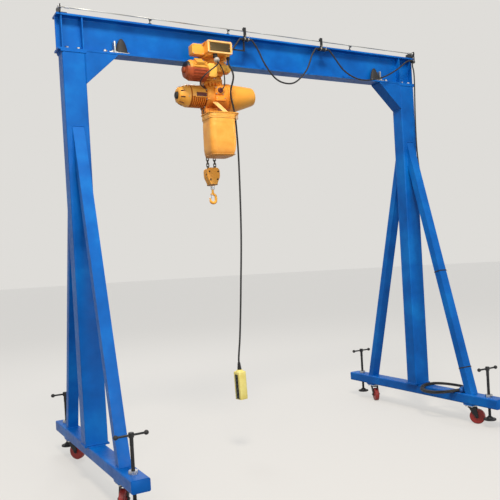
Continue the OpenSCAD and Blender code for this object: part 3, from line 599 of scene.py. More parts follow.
def bead(line, size=3.2, closed=False):
    """A weld bead along a line: short overlapping puddles."""
    dense = []
    for a, b in zip(line, line[1:] + ([line[0]] if closed else [])):
        a, b = Vector(a), Vector(b)
        n = max(1, round((b - a).length / 7))
        dense += [a.lerp(b, k / n) for k in range(n)]
    if not closed:
        dense.append(Vector(line[-1]))
    radii = [size * (1 + (0.18 if k % 2 else -0.12) + 0.08 * math.sin(k * 1.7)) for k in range(len(dense))]
    return bar(dense, radii, 6, closed)


def ring_of(x, y, z, w, d):
    """The corners of an upright tube's foot, in order. w and d are half its sizes."""
    return [(x - w, y - d, z), (x + w, y - d, z), (x + w, y + d, z), (x - w, y + d, z)]


BRACE_FOOT_Y, BRACE_FOOT_Z = 665, 250
BRACE_HEAD_Y, BRACE_HEAD_Z = 60, 2475
LEAN = (BRACE_FOOT_Y - BRACE_HEAD_Y) / (BRACE_HEAD_Z - BRACE_FOOT_Z)


def brace_at(z):
    """How far a brace's outer face is from the column's middle at a height."""
    return BRACE_HEAD_Y + (BRACE_HEAD_Z - z) * LEAN


beads = []
for sx in (-1, 1):
    x = sx * SPAN
    beads += [bead(ring_of(x, 0, 263, 81, 61), closed=True), bead(ring_of(x, 0, 2987, 81, 61), closed=True)]
    for y in (-60.5, 60.5):
        beads.append(bead([(x - 60, y, 251), (x + 60, y, 251)], 3.2))
    for y in (-58, 58):
        beads.append(bead([(sx * (SPAN - 80.5), y, 2984), (sx * (SPAN - 80.5), y, 2778)], 3))
        beads.append(bead([(sx * (SPAN - 92), y, 2999.5), (sx * (SPAN - 310), y, 2999.5)], 2.6))
    for e in (-1, 1):
        lowest, inner = BRACE_FOOT_Y, BRACE_FOOT_Y - 62.5
        beads.append(bead([(x - 41, e * inner, 251.5), (x - 41, e * lowest, 251.5),
                           (x + 41, e * lowest, 251.5), (x + 41, e * inner, 251.5)], 3.4, True))
        beads.append(bead([(x - 41, e * 61, 2474), (x + 41, e * 61, 2474), (x + 41, e * 61, 2252),
                           (x - 41, e * 61, 2252)], 3.4, True))
        beads.append(bead(ring_of(x, e * CASTER_Y, 169.5, 54.5, 49.5), 2.6, True))
    for stiff in (x - 72, x + 72):
        for y in (-1, 1):
            beads.append(bead([(stiff - 4, y * 5, 3030), (stiff - 4, y * 5, 3220)], 2.4))
dressed(joined(beads), "weld_beads", "frame", BLUE, "blue_paint", smooth=60)

clamps = []
for sx in (-1, 1):
    for dx in (150, 205):
        for y in (-40, 40):
            clamps.append(spot((sx * (SPAN - 80 - dx), y, CLEAR + FLANGE), turn=12 * dx, size=1.5))
fixed(hex_nut, clamps, "haunch_nuts", "frame", ZINC, "bright_steel")
fixed(hex_bolt, [spot((sx * (SPAN + dx), y, CLEAR + FLANGE), turn=dx, size=1.5) for sx in (-1, 1)
                 for dx in (-40, 40) for y in (-38, 38)], "column_head_bolts", "frame", ZINC, "bright_steel")
fixed(hex_bolt, [spot((sx * SPAN + dx, e * CASTER_Y + dy, 153), (0, 0, -1), turn=20, size=0.95)
                 for sx in (-1, 1) for e in (-1, 1) for dx in (-42, 42) for dy in (-32, 32)],
      "caster_plate_bolts", "frame", ZINC, "bright_steel")


# Base beams: end covers with rounded edges, and set screws in the jack nuts

caps = []
for sx in (-1, 1):
    for e in (-1, 1):
        caps.append(block((sx * SPAN - 54, e * BEAM_END - 2, 176), (sx * SPAN + 54, e * BEAM_END + 2, 244),
                          1.8))
dressed(joined(caps), "beam_end_covers", "frame", BLUE, "blue_paint")
fixed(cap_screw, [spot((sx * SPAN, e * (JACK_Y + 25), 262), (0, e, 0), size=0.7)
                  for sx in (-1, 1) for e in (-1, 1)],
      "jack_lock_screws", "frame", ZINC, "bright_steel")


def at_corners(make, name, body, finish, slot, node, out, turns=None):
    """One piece at each of the four corners, each copy with its own mesh."""
    first = make()
    for side, end in corners:
        copy = first.copy()
        copy.data = first.data.copy()
        bpy.context.scene.collection.objects.link(copy)
        angle = turns[side, end] if turns else 0
        copy.data.transform(Matrix.Translation(Vector((SIDES[side] * SPAN, ENDS[end] * out, 0)) * MM)
                            @ Matrix.Rotation(math.radians(angle), 4, "Z"))
        dressed(copy, f"{name}_{side}_{end}", f"{body}_{side}_{end}", finish, slot,
                [f"{node}_{side}_{end}"] if node else [])
    bpy.data.objects.remove(first)


# Casters: a pressed fork with rolled edges, and a wheel with a cast hub under its tread. The axle trails
AXLE = (0, -38, AXLE_Z)


def pressed_fork():
    """A crown under the plate, two pressed legs, and the axle with its nuts."""
    crown = turned([(0, 38), (1.2, 39.5), (3.6, 39.5), (5, 37.5), (5.2, 24), (8.5, 21)],
                   (0, 0, 134.5), UP, 40)
    legs = []
    for s in (-1, 1):
        x = s * 24.5
        outline = [(x, -33, 136), (x, -47, 92), (x, -52, 70), (x, -50, 56), (x, -42, 48.5), (x, -33, 48.5),
                   (x, -25, 55), (x, -20, 66), (x, 8, 104), (x, 25, 136)]
        legs.append(plate(outline, (s * 4.6, 0, 0), 1.0))
        legs.append(turned([(0, 13), (2, 13), (2.6, 12)], (s * 29, *AXLE[1:]), (s, 0, 0), 24))
        legs.append(turned([(0, 10.2), (5.4, 10.2), (6.6, 9)], (s * 31.4, *AXLE[1:]), (s, 0, 0), 6))
    axle = turned([(-38, 5), (-37, 6), (37, 6), (38, 5)], AXLE, (1, 0, 0), 20)
    rim = bar([(-29, -33, 135), (-29, 25, 135)], 1.6, 6)
    return joined([crown, axle, rim] + legs)


def caster_tread():
    """A tread with rounded shoulders."""
    return turned([(-19, 44), (-19, 56), (-17.5, 59.5), (-14, 62.3), (14, 62.3), (17.5, 59.5), (19, 56),
                   (19, 44)],
                  AXLE, (1, 0, 0), 64)


def caster_hub():
    """A dished hub with five round studs on each side."""
    parts = [turned([(-23.5, 11), (-23, 14), (-12.5, 17), (-12, 40), (-18, 43), (-18.4, 45.5), (18.4, 45.5),
                     (18, 43), (12, 40), (12.5, 17), (23, 14), (23.5, 11)], AXLE, (1, 0, 0), 48)]
    for s in (-1, 1):
        for k in range(5):
            a = math.radians(72 * k)
            parts.append(turned([(0, 5.2), (3, 4.6)],
                                (s * 12, AXLE[1] + 28 * math.cos(a), AXLE_Z + 28 * math.sin(a)), (s, 0, 0),
                                12))
    return joined(parts)


REST_TURN = {("right", "back"): -23, ("right", "front"): 31, ("left", "back"): 38, ("left", "front"): -34}
at_corners(pressed_fork, "caster_fork_pressed", "caster_fork", BLACK, "black_steel", "caster_fork", CASTER_Y,
           REST_TURN)
at_corners(caster_tread, "caster_tread", "caster_wheel", TREAD, "red_polyurethane", "caster_wheel", CASTER_Y,
           REST_TURN)
at_corners(caster_hub, "caster_hub", "caster_wheel", TREAD, "red_polyurethane", None, CASTER_Y, REST_TURN)


# Jacks: a rolled trapezoidal thread, a dished foot, a collar and a tee handle with ball ends

def jack_screw():
    """The thread is a wire wound up a core, 5 mm a turn."""
    core = turned([(0, 9.8), (330, 9.8)], (0, 0, 92), UP, 24)
    pitch, rise, sides = 5.0, 322, 14
    line = []
    for k in range(int(rise / pitch * sides)):
        a = 2 * math.pi * k / sides
        line.append((10.2 * math.cos(a), 10.2 * math.sin(a), 95 + pitch * k / sides))
    thread = bar(line, 1.75, 6)
    plain = turned([(0, 11), (1.5, 12), (52, 12), (56, 10.5)], (0, 0, 418), UP, 24)
    hub = turned([(0, 13), (2, 17), (30, 17), (32, 15)], (0, 0, 466), UP, 24)
    foot = turned([(0, 46), (1.5, 49.6), (7, 50), (12.5, 49), (14, 46), (15, 27), (24, 24), (30, 16),
                   (34, 12)],
                  (0, 0, 60), UP, 56)
    handle = turned([(-88, 6), (-86, 7), (86, 7), (88, 6)], (0, 0, 482), (1, 0, 0), 16)
    return joined([core, thread, plain, hub, foot, handle])


def jack_knobs():
    """The two balls on the handle's ends."""
    return joined([turned([(-15, 4), (-14, 7.5), (-10, 11.6), (-4, 14.6), (2, 14.8), (8, 12.7), (12, 9),
                           (14.3, 4.5), (15, 1)], (s * 96, 0, 482), (s, 0, 0), 24) for s in (-1, 1)])


at_corners(jack_screw, "jack_screw_threaded", "jack", BLACK, "black_steel", "jack", JACK_Y)
at_corners(jack_knobs, "jack_knobs", "jack", RUBBER, "black_rubber", None, JACK_Y)


# Girder ends: rope ends with eye bolts, and bell buffers of oblong plan that stand on plates before the stops

ROPE = (-72, 3283)
ROPE_END = 1600
SEAT_Z = CLEAR + FLANGE


def wire_rope():
    """Six wires twisted round a seventh, one turn in 55 mm."""
    wires = [bar([(-ROPE_END, *ROPE), (ROPE_END, *ROPE)], 1.5, 6)]
    for w in range(6):
        line = []
        for k in range(2 * ROPE_END // 7 + 1):
            x = -ROPE_END + k * 7
            a = 2 * math.pi * (x / 55 + w / 6)
            line.append((x, ROPE[0] + 2.65 * math.cos(a), ROPE[1] + 2.65 * math.sin(a)))
        wires.append(bar(line, 1.4, 4))
    return joined(wires)


dressed(wire_rope(), "wire_rope_laid", "frame", GALVANISED, "bright_steel", ["wire_rope"], smooth=60)

fittings = []
for s in (-1, 1):
    fittings.append(turned([(0, 6), (1, 7), (30, 7), (31, 6)], (s * 1540, *ROPE), (s, 0, 0), 20))
    fittings.append(turned([(0, 11), (1, 12), (7, 12), (8, 11)], (s * 1592, *ROPE), (s, 0, 0), 6))
    fittings.append(turned([(0, 11), (1, 12), (9, 12), (10, 11)], (s * 1606, *ROPE), (s, 0, 0), 6))
for x in (-945, -300, 890):
    for dx in (-9, 9):
        fittings.append(turned([(0, 3), (14, 3), (15, 2.4)], (x + dx, ROPE[0] + 10, ROPE[1] - 12), UP, 10))
    fittings.append(block((x - 12, ROPE[0] - 5, ROPE[1] - 4.6), (x + 12, ROPE[0] + 16, ROPE[1] - 2), 0.8))
    for dx in (-9, 9):
        fittings.append(turned([(0, 6.5), (4, 6.5), (5, 5.6)], (x + dx, ROPE[0] + 10, ROPE[1] - 2), UP, 6))
dressed(joined(fittings), "rope_fittings", "frame", ZINC, "bright_steel")


def handed(s, f, low, high, soft):
    """A block given for the right and the back, moved to the end and the side that s and f name."""
    left, right = sorted((s * low[0], s * high[0]))
    front, back = sorted((f * low[1], f * high[1]))
    return block((left, front, low[2]), (right, back, high[2]), soft)


bumpers = []
plates = []
stops = []
for s in (-1, 1):
    for f in (-1, 1):
        bell = turned([(0, 45), (2, 47.5), (9, 47.5), (13, 44), (32, 41), (56, 35.5), (78, 27), (94, 18),
                       (103, 10), (105, 5)], (s * 1166, 0, SEAT_Z + 5), UP, 40)
        bell.data.transform(Matrix.Translation((0, f * 33 * MM, 0)) @ Matrix.Diagonal((1, 0.5, 1, 1)))
        bumpers.append(bell)
        plates.append(handed(s, f, (1116, 8, SEAT_Z), (1214, 58, SEAT_Z + 5), 1))
        for x in (1121, 1209):
            for y in (13, 53):
                plates.append(turned([(0, 4.5), (3, 4.5), (4, 3.6)], (s * x, f * y, SEAT_Z + 5), UP, 12))
        stops.append(handed(s, f, (1214, 13, SEAT_Z), (1226, 54, SEAT_Z + 84), 2))
        stops.append(handed(s, f, (1225, 13, SEAT_Z), (1262, 54, SEAT_Z + 7), 1.5))
dressed(joined(stops), "end_stops_angle", "frame", GALVANISED, "bright_steel", ["end_stops"])
dressed(joined(bumpers), "end_buffers_moulded", "frame", RUBBER, "black_rubber", ["end_buffers"])
dressed(joined(plates), "buffer_base_plates", "frame", ZINC, "bright_steel")

# Tie tails on the cable clips, and the straps of the festoon cable
tails = []
for z in (1284, 462):
    y = -brace_at(z) + 31
    tails.append(block((1561, y - 13, z - 3), (1576, y - 5, z + 9), 1.5))
    tails.append(bar([(1566, y - 9, z + 4), (1572, y - 20, z + 6), (1570, y - 33, z + 2)], 1.8, 6))
dressed(joined(tails), "tie_tails", "frame", NYLON, "cable_rubber")


def strap(x, body, name):
    """A cable tie drawn round the festoon cable and the saddle it lies in."""
    loop = [(x, -96 + 18.5 * math.cos(a), 3209 + 14.5 * math.sin(a)) for a in
            (math.radians(20 * k) for k in range(18))]
    head = block((x - 4, -118, 3204), (x + 4, -112, 3214), 1)
    tail = bar([(x, -115, 3209), (x, -124, 3219), (x, -127, 3236)], 1.6, 6)
    return dressed(joined([bar(loop, 1.5, 6, True), head, tail]), name, body, NYLON, "bright_steel",
                   smooth=60)


strap(-183, "trolley", "tie_tow_left")
strap(-151, "trolley", "tie_tow_right")
strap(545, "cable_carrier", "tie_carrier_left")
strap(591, "cable_carrier", "tie_carrier_right")


# Trolley wheels with a flange, a tapered tread and a hub

wheels = []
for f in (-1, 1):
    for dx in (-65, 65):
        at = (TROLLEY.x + dx, f * 20, WHEEL_Z)
        wheels.append(turned([(0, 30), (1, 39.2), (38, 40), (39, 47), (45, 47.5), (46, 45)], at, (0, f, 0),
                             48))
        wheels.append(turned([(30, 13), (47.5, 14), (48, 12)], at, (0, f, 0), 24))
dressed(joined(wheels), "trolley_wheels_turned", "trolley", CHAIN, "bright_steel", ["trolley_wheels"])

# Fixings of the side plates: wheel axle nuts behind, bolts in front
fixed(hex_nut, [spot((TROLLEY.x + dx, PLATE_FACE, WHEEL_Z), (0, 1, 0), size=1.5) for dx in (-65, 65)],
      "wheel_axle_nuts", "trolley", ZINC, "bright_steel")
fixed(hex_bolt, [spot((TROLLEY.x + dx, -PLATE_FACE, z), (0, -1, 0), size=0.9) for dx in (-92, 92)
                 for z in (3015, 3082)],
      "side_plate_bolts", "trolley", ZINC, "bright_steel")


# Trolley drive: a motor with lengthwise ribs, its fan end, dark above with a painted shade below, a gearcase
# and a domed wheel cover

AXIS = (TROLLEY.x, -150, 2908)
GEARCASE = (-520, 2914)
WHEEL_COVER = (-398, 2955)


def drive_motor():
    """A shell with two end rings, ribs all round but under the lid, and four bosses at each ring."""
    body = turned([(-262, 64), (-256, 70), (-246, 73), (-244, 76), (-236, 76), (-234, 71), (-132, 71),
                   (-130, 75), (-122, 75), (-119, 62), (-108, 58)], AXIS, (1, 0, 0), 56)
    ribs = []
    for k in range(22):
        a = math.radians(90 + 360 * k / 22)
        if 60 < math.degrees(a) % 360 < 120:
            continue
        rib = block((-234, -2.1, 68), (-132, 2.1, 76), 0.9)
        rib.data.transform(Matrix.Translation(Vector(AXIS) * MM) @ Matrix.Rotation(a - math.pi / 2, 4, "X"))
        ribs.append(rib)
    lid = block((-212, -36, 62), (-150, 36, 84), 3)
    lid.data.transform(Matrix.Translation(Vector(AXIS) * MM) @ Matrix.Rotation(math.radians(38), 4, "X"))
    bosses = []
    for x in (-240, -126):
        for k in range(4):
            a = math.radians(45 + 90 * k)
            bosses.append(turned([(-6, 6.5), (6, 6.5)], (AXIS[0] + x, AXIS[1] + 71 * math.cos(a),
                                                         AXIS[2] + 71 * math.sin(a)), (1, 0, 0), 12))
    return joined([body, lid] + ribs + bosses)


def drive_end():
    """The fan end: a dished cover with a raised middle."""
    return turned([(-300, 8), (-300, 20), (-298, 23), (-286, 24), (-285, 44), (-280, 58), (-270, 64),
                   (-260, 65), (-259, 60)], AXIS, (1, 0, 0), 48)


def rounded_outline(cx, cz, w, h, r, y, n=6):
    """The outline of a rectangle with round corners, upright at one y."""
    points = []
    for sx, sz, start in ((1, 1, 0), (-1, 1, 90), (-1, -1, 180), (1, -1, 270)):
        for k in range(n + 1):
            a = math.radians(start + 90 * k / n)
            points.append((cx + sx * (w / 2 - r) + r * math.cos(a), y,
                           cz + sz * (h / 2 - r) + r * math.sin(a)))
    return points


def drive_case():
    """The gearcase with its flange, the cover over the driven wheels with its rim and dome, and the neck."""
    case = softened(plate(rounded_outline(*GEARCASE, 78, 104, 22, -PLATE_FACE), (0, -112, 0)), 5, 3)
    flange = softened(plate(rounded_outline(*GEARCASE, 88, 112, 26, -116), (0, -9, 0)), 1.5)
    cover = softened(plate(rounded_outline(*WHEEL_COVER, 140, 62, 28, -PLATE_FACE), (0, -46, 0)), 9, 4)
    dome = turned([(0, 27), (5, 26), (10, 22), (13, 14), (14, 4)], (WHEEL_COVER[0], -122, WHEEL_COVER[1]),
                  (0, -1, 0), 32)
    rim = softened(plate(rounded_outline(*WHEEL_COVER, 146, 68, 31, -PLATE_FACE), (0, -8, 0)), 1.5)
    neck = turned([(-112, 52), (-100, 50), (-94, 44)], AXIS, (1, 0, 0), 40)
    return joined([case, flange, cover, dome, rim, neck])


dressed(drive_motor(), "trolley_motor_ribbed", "trolley", MOTOR, "orange_paint", ["trolley_motor"])
dressed(drive_end(), "trolley_motor_end", "trolley", MOTOR_END, "black_steel")
dressed(drive_case(), "trolley_gearcase", "trolley", YELLOW, "orange_paint")
fixed(cap_screw, [spot((GEARCASE[0] + dx, -125, GEARCASE[1] + dz), (0, -1, 0), size=0.62)
                  for dx in (-36, 36) for dz in (-44, 0, 44)]
      + [spot((WHEEL_COVER[0] + dx, -86, WHEEL_COVER[1] + dz), (0, -1, 0), size=0.55)
         for dx in (-60, 60) for dz in (-25, 25)],
      "gearcase_screws", "trolley", ZINC, "bright_steel")


# Control box: a body with a stepped lid, a bare recessed plate and a side box

BOX = (-466, 3080.5)
BOX_W, BOX_H = 206, 93
BOX_LOW = 3034
SIDE_BOX = (-607, 3074)


def control_case():
    """The box, its lid with a recess in the front, the side box, and the feet under the box."""
    body = softened(plate(rounded_outline(*BOX, BOX_W - 8, BOX_H - 8, 10, -PLATE_FACE), (0, -122, 0)), 4, 3)
    lip = softened(plate(rounded_outline(*BOX, BOX_W, BOX_H, 12, -184), (0, -10, 0)), 2, 2)
    lid = plate(rounded_outline(*BOX, BOX_W, BOX_H, 12, -195), (0, -28.6, 0))
    held(lid)
    bpy.ops.object.mode_set(mode="EDIT")
    pick("faces", lambda f: f.normal.y < -0.9)
    bpy.ops.mesh.inset(thickness=0.011, depth=0)
    bpy.ops.mesh.inset(thickness=0.003, depth=-0.004)
    bpy.ops.object.mode_set(mode="OBJECT")
    softened(lid, 2.4, 3, 50)
    feet = [block((x, -196, BOX_LOW - 9), (x + 34, -92, BOX_LOW + 3), 2) for x in (-557, -409)]
    side = softened(plate(rounded_outline(*SIDE_BOX, 104, 78, 12, -PLATE_FACE), (0, -62, 0)), 4, 3)
    side_lid = softened(plate(rounded_outline(SIDE_BOX[0] - 2, SIDE_BOX[1], 104, 80, 13, -141), (0, -9, 0)),
                        2.5, 2)
    slope = softened(plate([(-573, -100, 3112), (-573, -100, 3122), (-573, -196, 3122), (-573, -150, 3104)],
                           (12, 0, 0)), 1.5)
    return joined([body, lip, lid, side, side_lid, slope] + feet)


dressed(control_case(), "control_box_case", "trolley", COVER, "orange_paint", ["control_box"])
# The rim's pale cream is a painted highlight round the front of the box's lid
frame_rim = plate(rounded_outline(*BOX, 202, 89, 11, -223.4), (0, -1.4, 0))
held(frame_rim)
bpy.ops.object.mode_set(mode="EDIT")
pick("faces", lambda f: abs(f.normal.y) > 0.9)
bpy.ops.mesh.inset(thickness=0.0105, depth=0)
bpy.ops.mesh.bridge_edge_loops()
bpy.ops.object.mode_set(mode="OBJECT")
dressed(softened(frame_rim, 0.5), "control_box_rim", "trolley", PALE_PAINT_AND_HIGHLIGHT, "orange_paint")
bare = softened(plate(rounded_outline(BOX[0] + 2, BOX[1], 168, 62, 3, -219.5), (0, -2.2, 0)), 0.6)
dressed(bare, "control_box_plate", "trolley", PLATE, "orange_paint")
fixed(pan_screw, [spot((x, -225, z), (0, -1, 0), size=0.5) for x in (-561, -371) for z in (3042, 3119)]
      + [spot((x, -154, z), (0, -1, 0), size=0.5) for x in (-653, -577) for z in (3041, 3107)]
      + [spot((x, -221.7, BOX[1]), (0, -1, 0), size=0.3) for x in (-542, -386)],
      "box_screws", "trolley", ZINC, "bright_steel")
seal = joined([softened(plate(rounded_outline(*BOX, 203, 90, 11, -193.5), (0, -2, 0)), 0.5),
               softened(plate(rounded_outline(SIDE_BOX[0] - 7, SIDE_BOX[1], 88, 76, 11, -139.5), (0, -2, 0)),
                        0.5)])
dressed(seal, "box_seals", "trolley", RUBBER, "black_rubber")


def gland(x, y, z, size):
    """A cable gland under the box: its locknut, and a stepped body with a tapered cap."""
    return [turned([(0, 15.5 * size), (5, 15.5 * size), (6, 14.5 * size)], (x, y, z), (0, 0, -1), 6),
            turned([(5, 12 * size), (13, 12 * size), (14, 15 * size), (27, 14.6 * size), (33, 10 * size)],
                   (x, y, z), (0, 0, -1), 12)]


glands = gland(-380, -180, BOX_LOW, 0.92) + gland(-498, -199, BOX_LOW, 1.15)
dressed(joined(glands), "cable_glands_moulded", "trolley", RUBBER, "bright_steel", ["cable_glands"],
        smooth=25)
dressed(turned([(0, 14), (2, 20), (6, 22), (17, 22), (22, 20), (26, 14), (27, 7)], (-491, -199, 2998),
               (0.1, -0.45, -0.88),
               28), "gland_cap_white", "trolley", NYLON, "bright_steel", smooth=40)


# Hoist: casting between the rods, motor and gear cover. Its axis runs along X at HOIST_Z

HOIST = (TROLLEY.x, 0, HOIST_Z)
ENTRY = (-432, 2787)
PAD = (-424, 2730)
MOTOR_PLATE = (-572, 2755)


def hollowed(o, cutters):
    """Cuts holes with turned bars, which are then deleted."""
    for cutter in cutters:
        altered(o, "BOOLEAN", operation="DIFFERENCE", object=cutter, solver="EXACT")
        bpy.data.objects.remove(cutter)
    return o


def hoist_body():
    """The cast middle: a drum with ribs, a head for the lug, a chain guide and bosses for the cable entry."""
    drum = turned([(-76, 86), (-75, 92), (-66, 99), (-64, 101), (-50, 101), (-48, 96), (30, 101), (70, 104),
                   (96, 106), (99, 111.5), (104, 113), (122, 113), (125, 111.5)], HOIST, (1, 0, 0), 80)
    head = plate([(-74, -46, 40), (-74, -46, 121), (82, -46, 121), (82, -46, 40)], (0, 92, 0))
    softened(head, 8, 3)
    head.data.transform(Matrix.Translation(Vector(HOIST) * MM))
    ribs = []
    for x in (-44, -14, 16, 46):
        for f in (-1, 1):
            rib = plate([(x, f * 40, 118), (x, f * 66, 82), (x, f * 92, 44), (x, f * 40, 60)], (7, 0, 0),
                        1.5)
            rib.data.transform(Matrix.Translation(Vector(HOIST) * MM))
            ribs.append(rib)
    bores = [turned([(-4, 16), (60, 16)], (HOOK_X + s * FALL, 0, 2622), UP, 28) for s in (-1, 1)]
    guide = hollowed(softened(plate(rounded_outline(-474, 2678, 104, 104, 14, 42), (0, -84, 0)), 3, 2),
                     bores)
    boss = joined([softened(plate(rounded_outline(*ENTRY, 70, 62, 12, -60), (0, -49, 0)), 4, 3),
                   turned([(60, 34), (109, 33), (112, 31.5), (114, 28)], (-428, 0, 2789), (0, -1, 0), 40)])
    pad = softened(plate(rounded_outline(*PAD, 82, 40, 5, -70), (0, -40, 0)), 3, 2)
    lugs = []
    for k in range(8):
        a = math.radians(22.5 + 45 * k)
        for x, r, length, size in ((-76, 92, 26, 10), (97, 105, 24, 9)):
            lugs.append(turned([(0, size), (length, size)],
                               (HOIST[0] + x, r * math.cos(a), HOIST[2] + r * math.sin(a)), (1, 0, 0), 16))
    return joined([drum, head, guide, boss, pad] + ribs + lugs)


dressed(hoist_body(), "hoist_casting_ribbed", "trolley", ORANGE, "orange_paint", ["hoist_casting"])
dressed(turned([(0, 19), (2, 20.5), (7, 20.5), (10, 17), (11.5, 12), (11.5, 7), (3, 7)], (-428, -114, 2789),
               (0, -1, 0), 28),
        "cable_entry_grommet", "trolley", moulded("oxide_red_rubber", "#5c1a22", "#45121a", 0.6, 1.0),
        "black_rubber")


def hoist_motor():
    """The shell, its ring fins with a foot behind, and a saddle over its top with a seat for the plate."""
    shell = turned([(-206, 84), (-205, 86), (-199, 86), (-198, 76), (-78, 76), (-77, 90), (-72, 92),
                    (-70, 90)],
                   HOIST, (1, 0, 0), 72)
    fins = []
    for k in range(7):
        fins.append(turned([(0, 76), (0.8, 84.6), (2, 86), (5, 86), (6.2, 84.6), (7, 76)],
                           (HOIST[0] - 190 + k * 16.6, 0, HOIST[2]), (1, 0, 0), 72))
    seat = softened(plate(rounded_outline(MOTOR_PLATE[0] - 2, MOTOR_PLATE[1], 98, 42, 6, -70),
                          (0, -17.5, 0)), 2, 2)
    foot = softened(plate(rounded_outline(-588, 2757, 60, 52, 8, 70), (0, 17, 0)), 2, 2)
    turns = [math.radians(-12 + 8.5 * k) for k in range(25)]
    section = [(-646, -r * math.cos(a), HOIST[2] + r * math.sin(a))
               for r, way in ((86.6, turns), (76, turns[::-1])) for a in way]
    saddle = softened(plate(section, (112, 0, 0)), 1.5)
    return shell, joined([foot] + fins), joined([seat, saddle])


shell, finned, saddle = hoist_motor()
dressed(finned, "hoist_motor_finned", "trolley", ORANGE, "orange_paint", ["hoist_motor"])
dressed(saddle, "hoist_motor_saddle", "trolley", COVER, "orange_paint")
# The shell's brown is painted shade in the gaps between the fins
dressed(shell, "hoist_motor_shell", "trolley", FIN_GAP_SHADE, "orange_paint")
dressed(softened(plate(rounded_outline(*MOTOR_PLATE, 86, 30, 3, -87.6), (0, -1.2, 0)), 0.4),
        "motor_plate_bare", "trolley",
        GRIMY, "orange_paint")


def fan_cover():
    """A pressed cover: a rolled rim, a long taper with air slots, and a turned-in front."""
    return turned([(-206, 85), (-215, 86), (-219, 85.6), (-231, 81.6), (-278, 60.5), (-284, 57), (-288, 50),
                   (-289, 30), (-285, 26)], HOIST, (1, 0, 0), 96)


dressed(fan_cover(), "fan_cover_pressed", "trolley", COVER, "orange_paint", ["hoist_fan_cover"])


def slot_at(turn):
    """One air slot along the taper: a dark mouth with a raised lip round it."""
    a = math.radians(turn)
    ends = [Vector((HOIST[0] + x, r * math.cos(a), HOIST[2] + r * math.sin(a)))
            for x, r in ((-281, 58.6), (-250, 73.2))]
    side = Vector((0, -math.sin(a), math.cos(a)))
    ring = [e + side * f for e, f in ((ends[0], -4), (ends[1], -5.5), (ends[1], 5.5), (ends[0], 4))]
    return bar([ends[0], ends[1]], 4.8, 8), bar(ring, 1.4, 6, True)


mouths, lips = [], []
for k in range(9):
    mouth, lip = slot_at(200 + 40 * k)
    mouths.append(mouth)
    lips.append(lip)
dressed(joined(mouths), "fan_slots_dark", "trolley",
        moulded("slot_shadow_brown", "#4a1f12", "#35150c", 0.8, 1.5),
        "orange_paint")
dressed(joined(lips), "fan_slot_lips", "trolley", COVER, "orange_paint")
dressed(turned([(-285, 27), (-292, 26.5), (-299, 26), (-303, 22), (-303, 10), (-301, 8)], HOIST, (1, 0, 0),
               40),
        "fan_end_plug", "trolley", RUBBER, "black_rubber")


def gear_cover():
    """A deep drawn cover: a bolted rim, then a taper that leans up to a shallow dished end."""
    rim = turned([(125, 111.5), (127, 113), (137, 113), (139, 111), (141, 110), (168, 110), (174, 108.5),
                  (176, 105)],
                 HOIST, (1, 0, 0), 96)
    lean = math.radians(8.5)
    taper = turned([(4, 104), (6, 108), (100, 90.4), (192, 71), (199, 67.5), (204, 61), (206, 53), (206, 30),
                    (204, 26), (204, 6)], (HOIST[0] + 158, 0, HOIST[2]), (math.cos(lean), 0, math.sin(lean)),
                    96)
    return joined([rim, taper])


dressed(gear_cover(), "gear_cover_drawn", "trolley", COVER, "orange_paint", ["hoist_gear_cover"])
around = []
for k in range(8):
    a = math.radians(22.5 + 45 * k)
    around.append(spot((HOIST[0] - 78, 92 * math.cos(a), HOIST[2] + 92 * math.sin(a)), (-1, 0, 0),
                       size=0.62))
for k in range(6):
    a = math.radians(15 + 60 * k)
    for x, r, size in ((-226, 83.5, 0.4), (132, 111, 0.42)):
        around.append(spot((HOIST[0] + x, r * math.cos(a), HOIST[2] + r * math.sin(a)),
                           (0, math.cos(a), math.sin(a)), size=size))
fixed(cap_screw, around, "hoist_screws", "trolley", ZINC, "bright_steel")
fixed(cap_screw, [spot((ENTRY[0] + dx, -109, ENTRY[1] + dz), (0, -1, 0), size=0.5)
                  for dx in (-28, 28) for dz in (-24, 24)]
      + [spot((PAD[0] + dx, -110, PAD[1]), (0, -1, 0), size=0.45) for dx in (-34, 34)]
      + [spot((MOTOR_PLATE[0] + dx, -88.5, MOTOR_PLATE[1]), (0, -1, 0), size=0.2) for dx in (-38, 38)],
      "boss_screws", "trolley", ZINC, "bright_steel")


# Lug between the rods and the hoist: gussets, arches, bolts, and the discs and spacers on the rods
ROD_Z = 2940
lug = []
for f in (-1, 1):
    for x in (-66, 4, 74):
        left = TROLLEY.x + x - 3
        lug.append(plate([(left, f * 26, 2944), (left, f * 26, 2891), (left, f * 40, 2891)], (6, 0, 0), 0.8))
    for x in (-31, 39):
        arch = [(TROLLEY.x + x + 30 * math.cos(a), f * 29, 2896 + 34 * math.sin(a))
                for a in (math.pi * k / 12 for k in range(13))]
        lug.append(bar(arch, 3.6, 8))
    for x in (-42, 42):
        lug.append(turned([(0, 21), (3, 21), (4, 19.5)], (TROLLEY.x + x, f * 26, ROD_Z), (0, f, 0), 32))
dressed(joined(lug), "lug_gussets", "trolley", COVER, "orange_paint")
fixed(hex_bolt, [spot((TROLLEY.x + x, y, 2893), size=0.8) for x in (-26, 26) for y in (-33, 33)],
      "lug_bolts", "trolley",
      ZINC, "bright_steel")
collars = []
for x in (-42, 42):
    for y in (-50, -38, 32, 46):
        collars.append(turned([(0, 17), (0.5, 18), (5.5, 18), (6, 17)], (TROLLEY.x + x, y, ROD_Z), (0, 1, 0),
                              28))
dressed(joined(collars), "rod_spacers", "trolley", ZINC, "bright_steel")


# Leads between the box and the hoist

def lead(points, name, width):
    """A stiff lead from the gland cap into the hoist. width is its radius."""
    line = route(points, 5)
    o = strand(name, line, width, 12)
    dressed(o, name, "trolley", SHEATH, "cable_rubber")
    return o


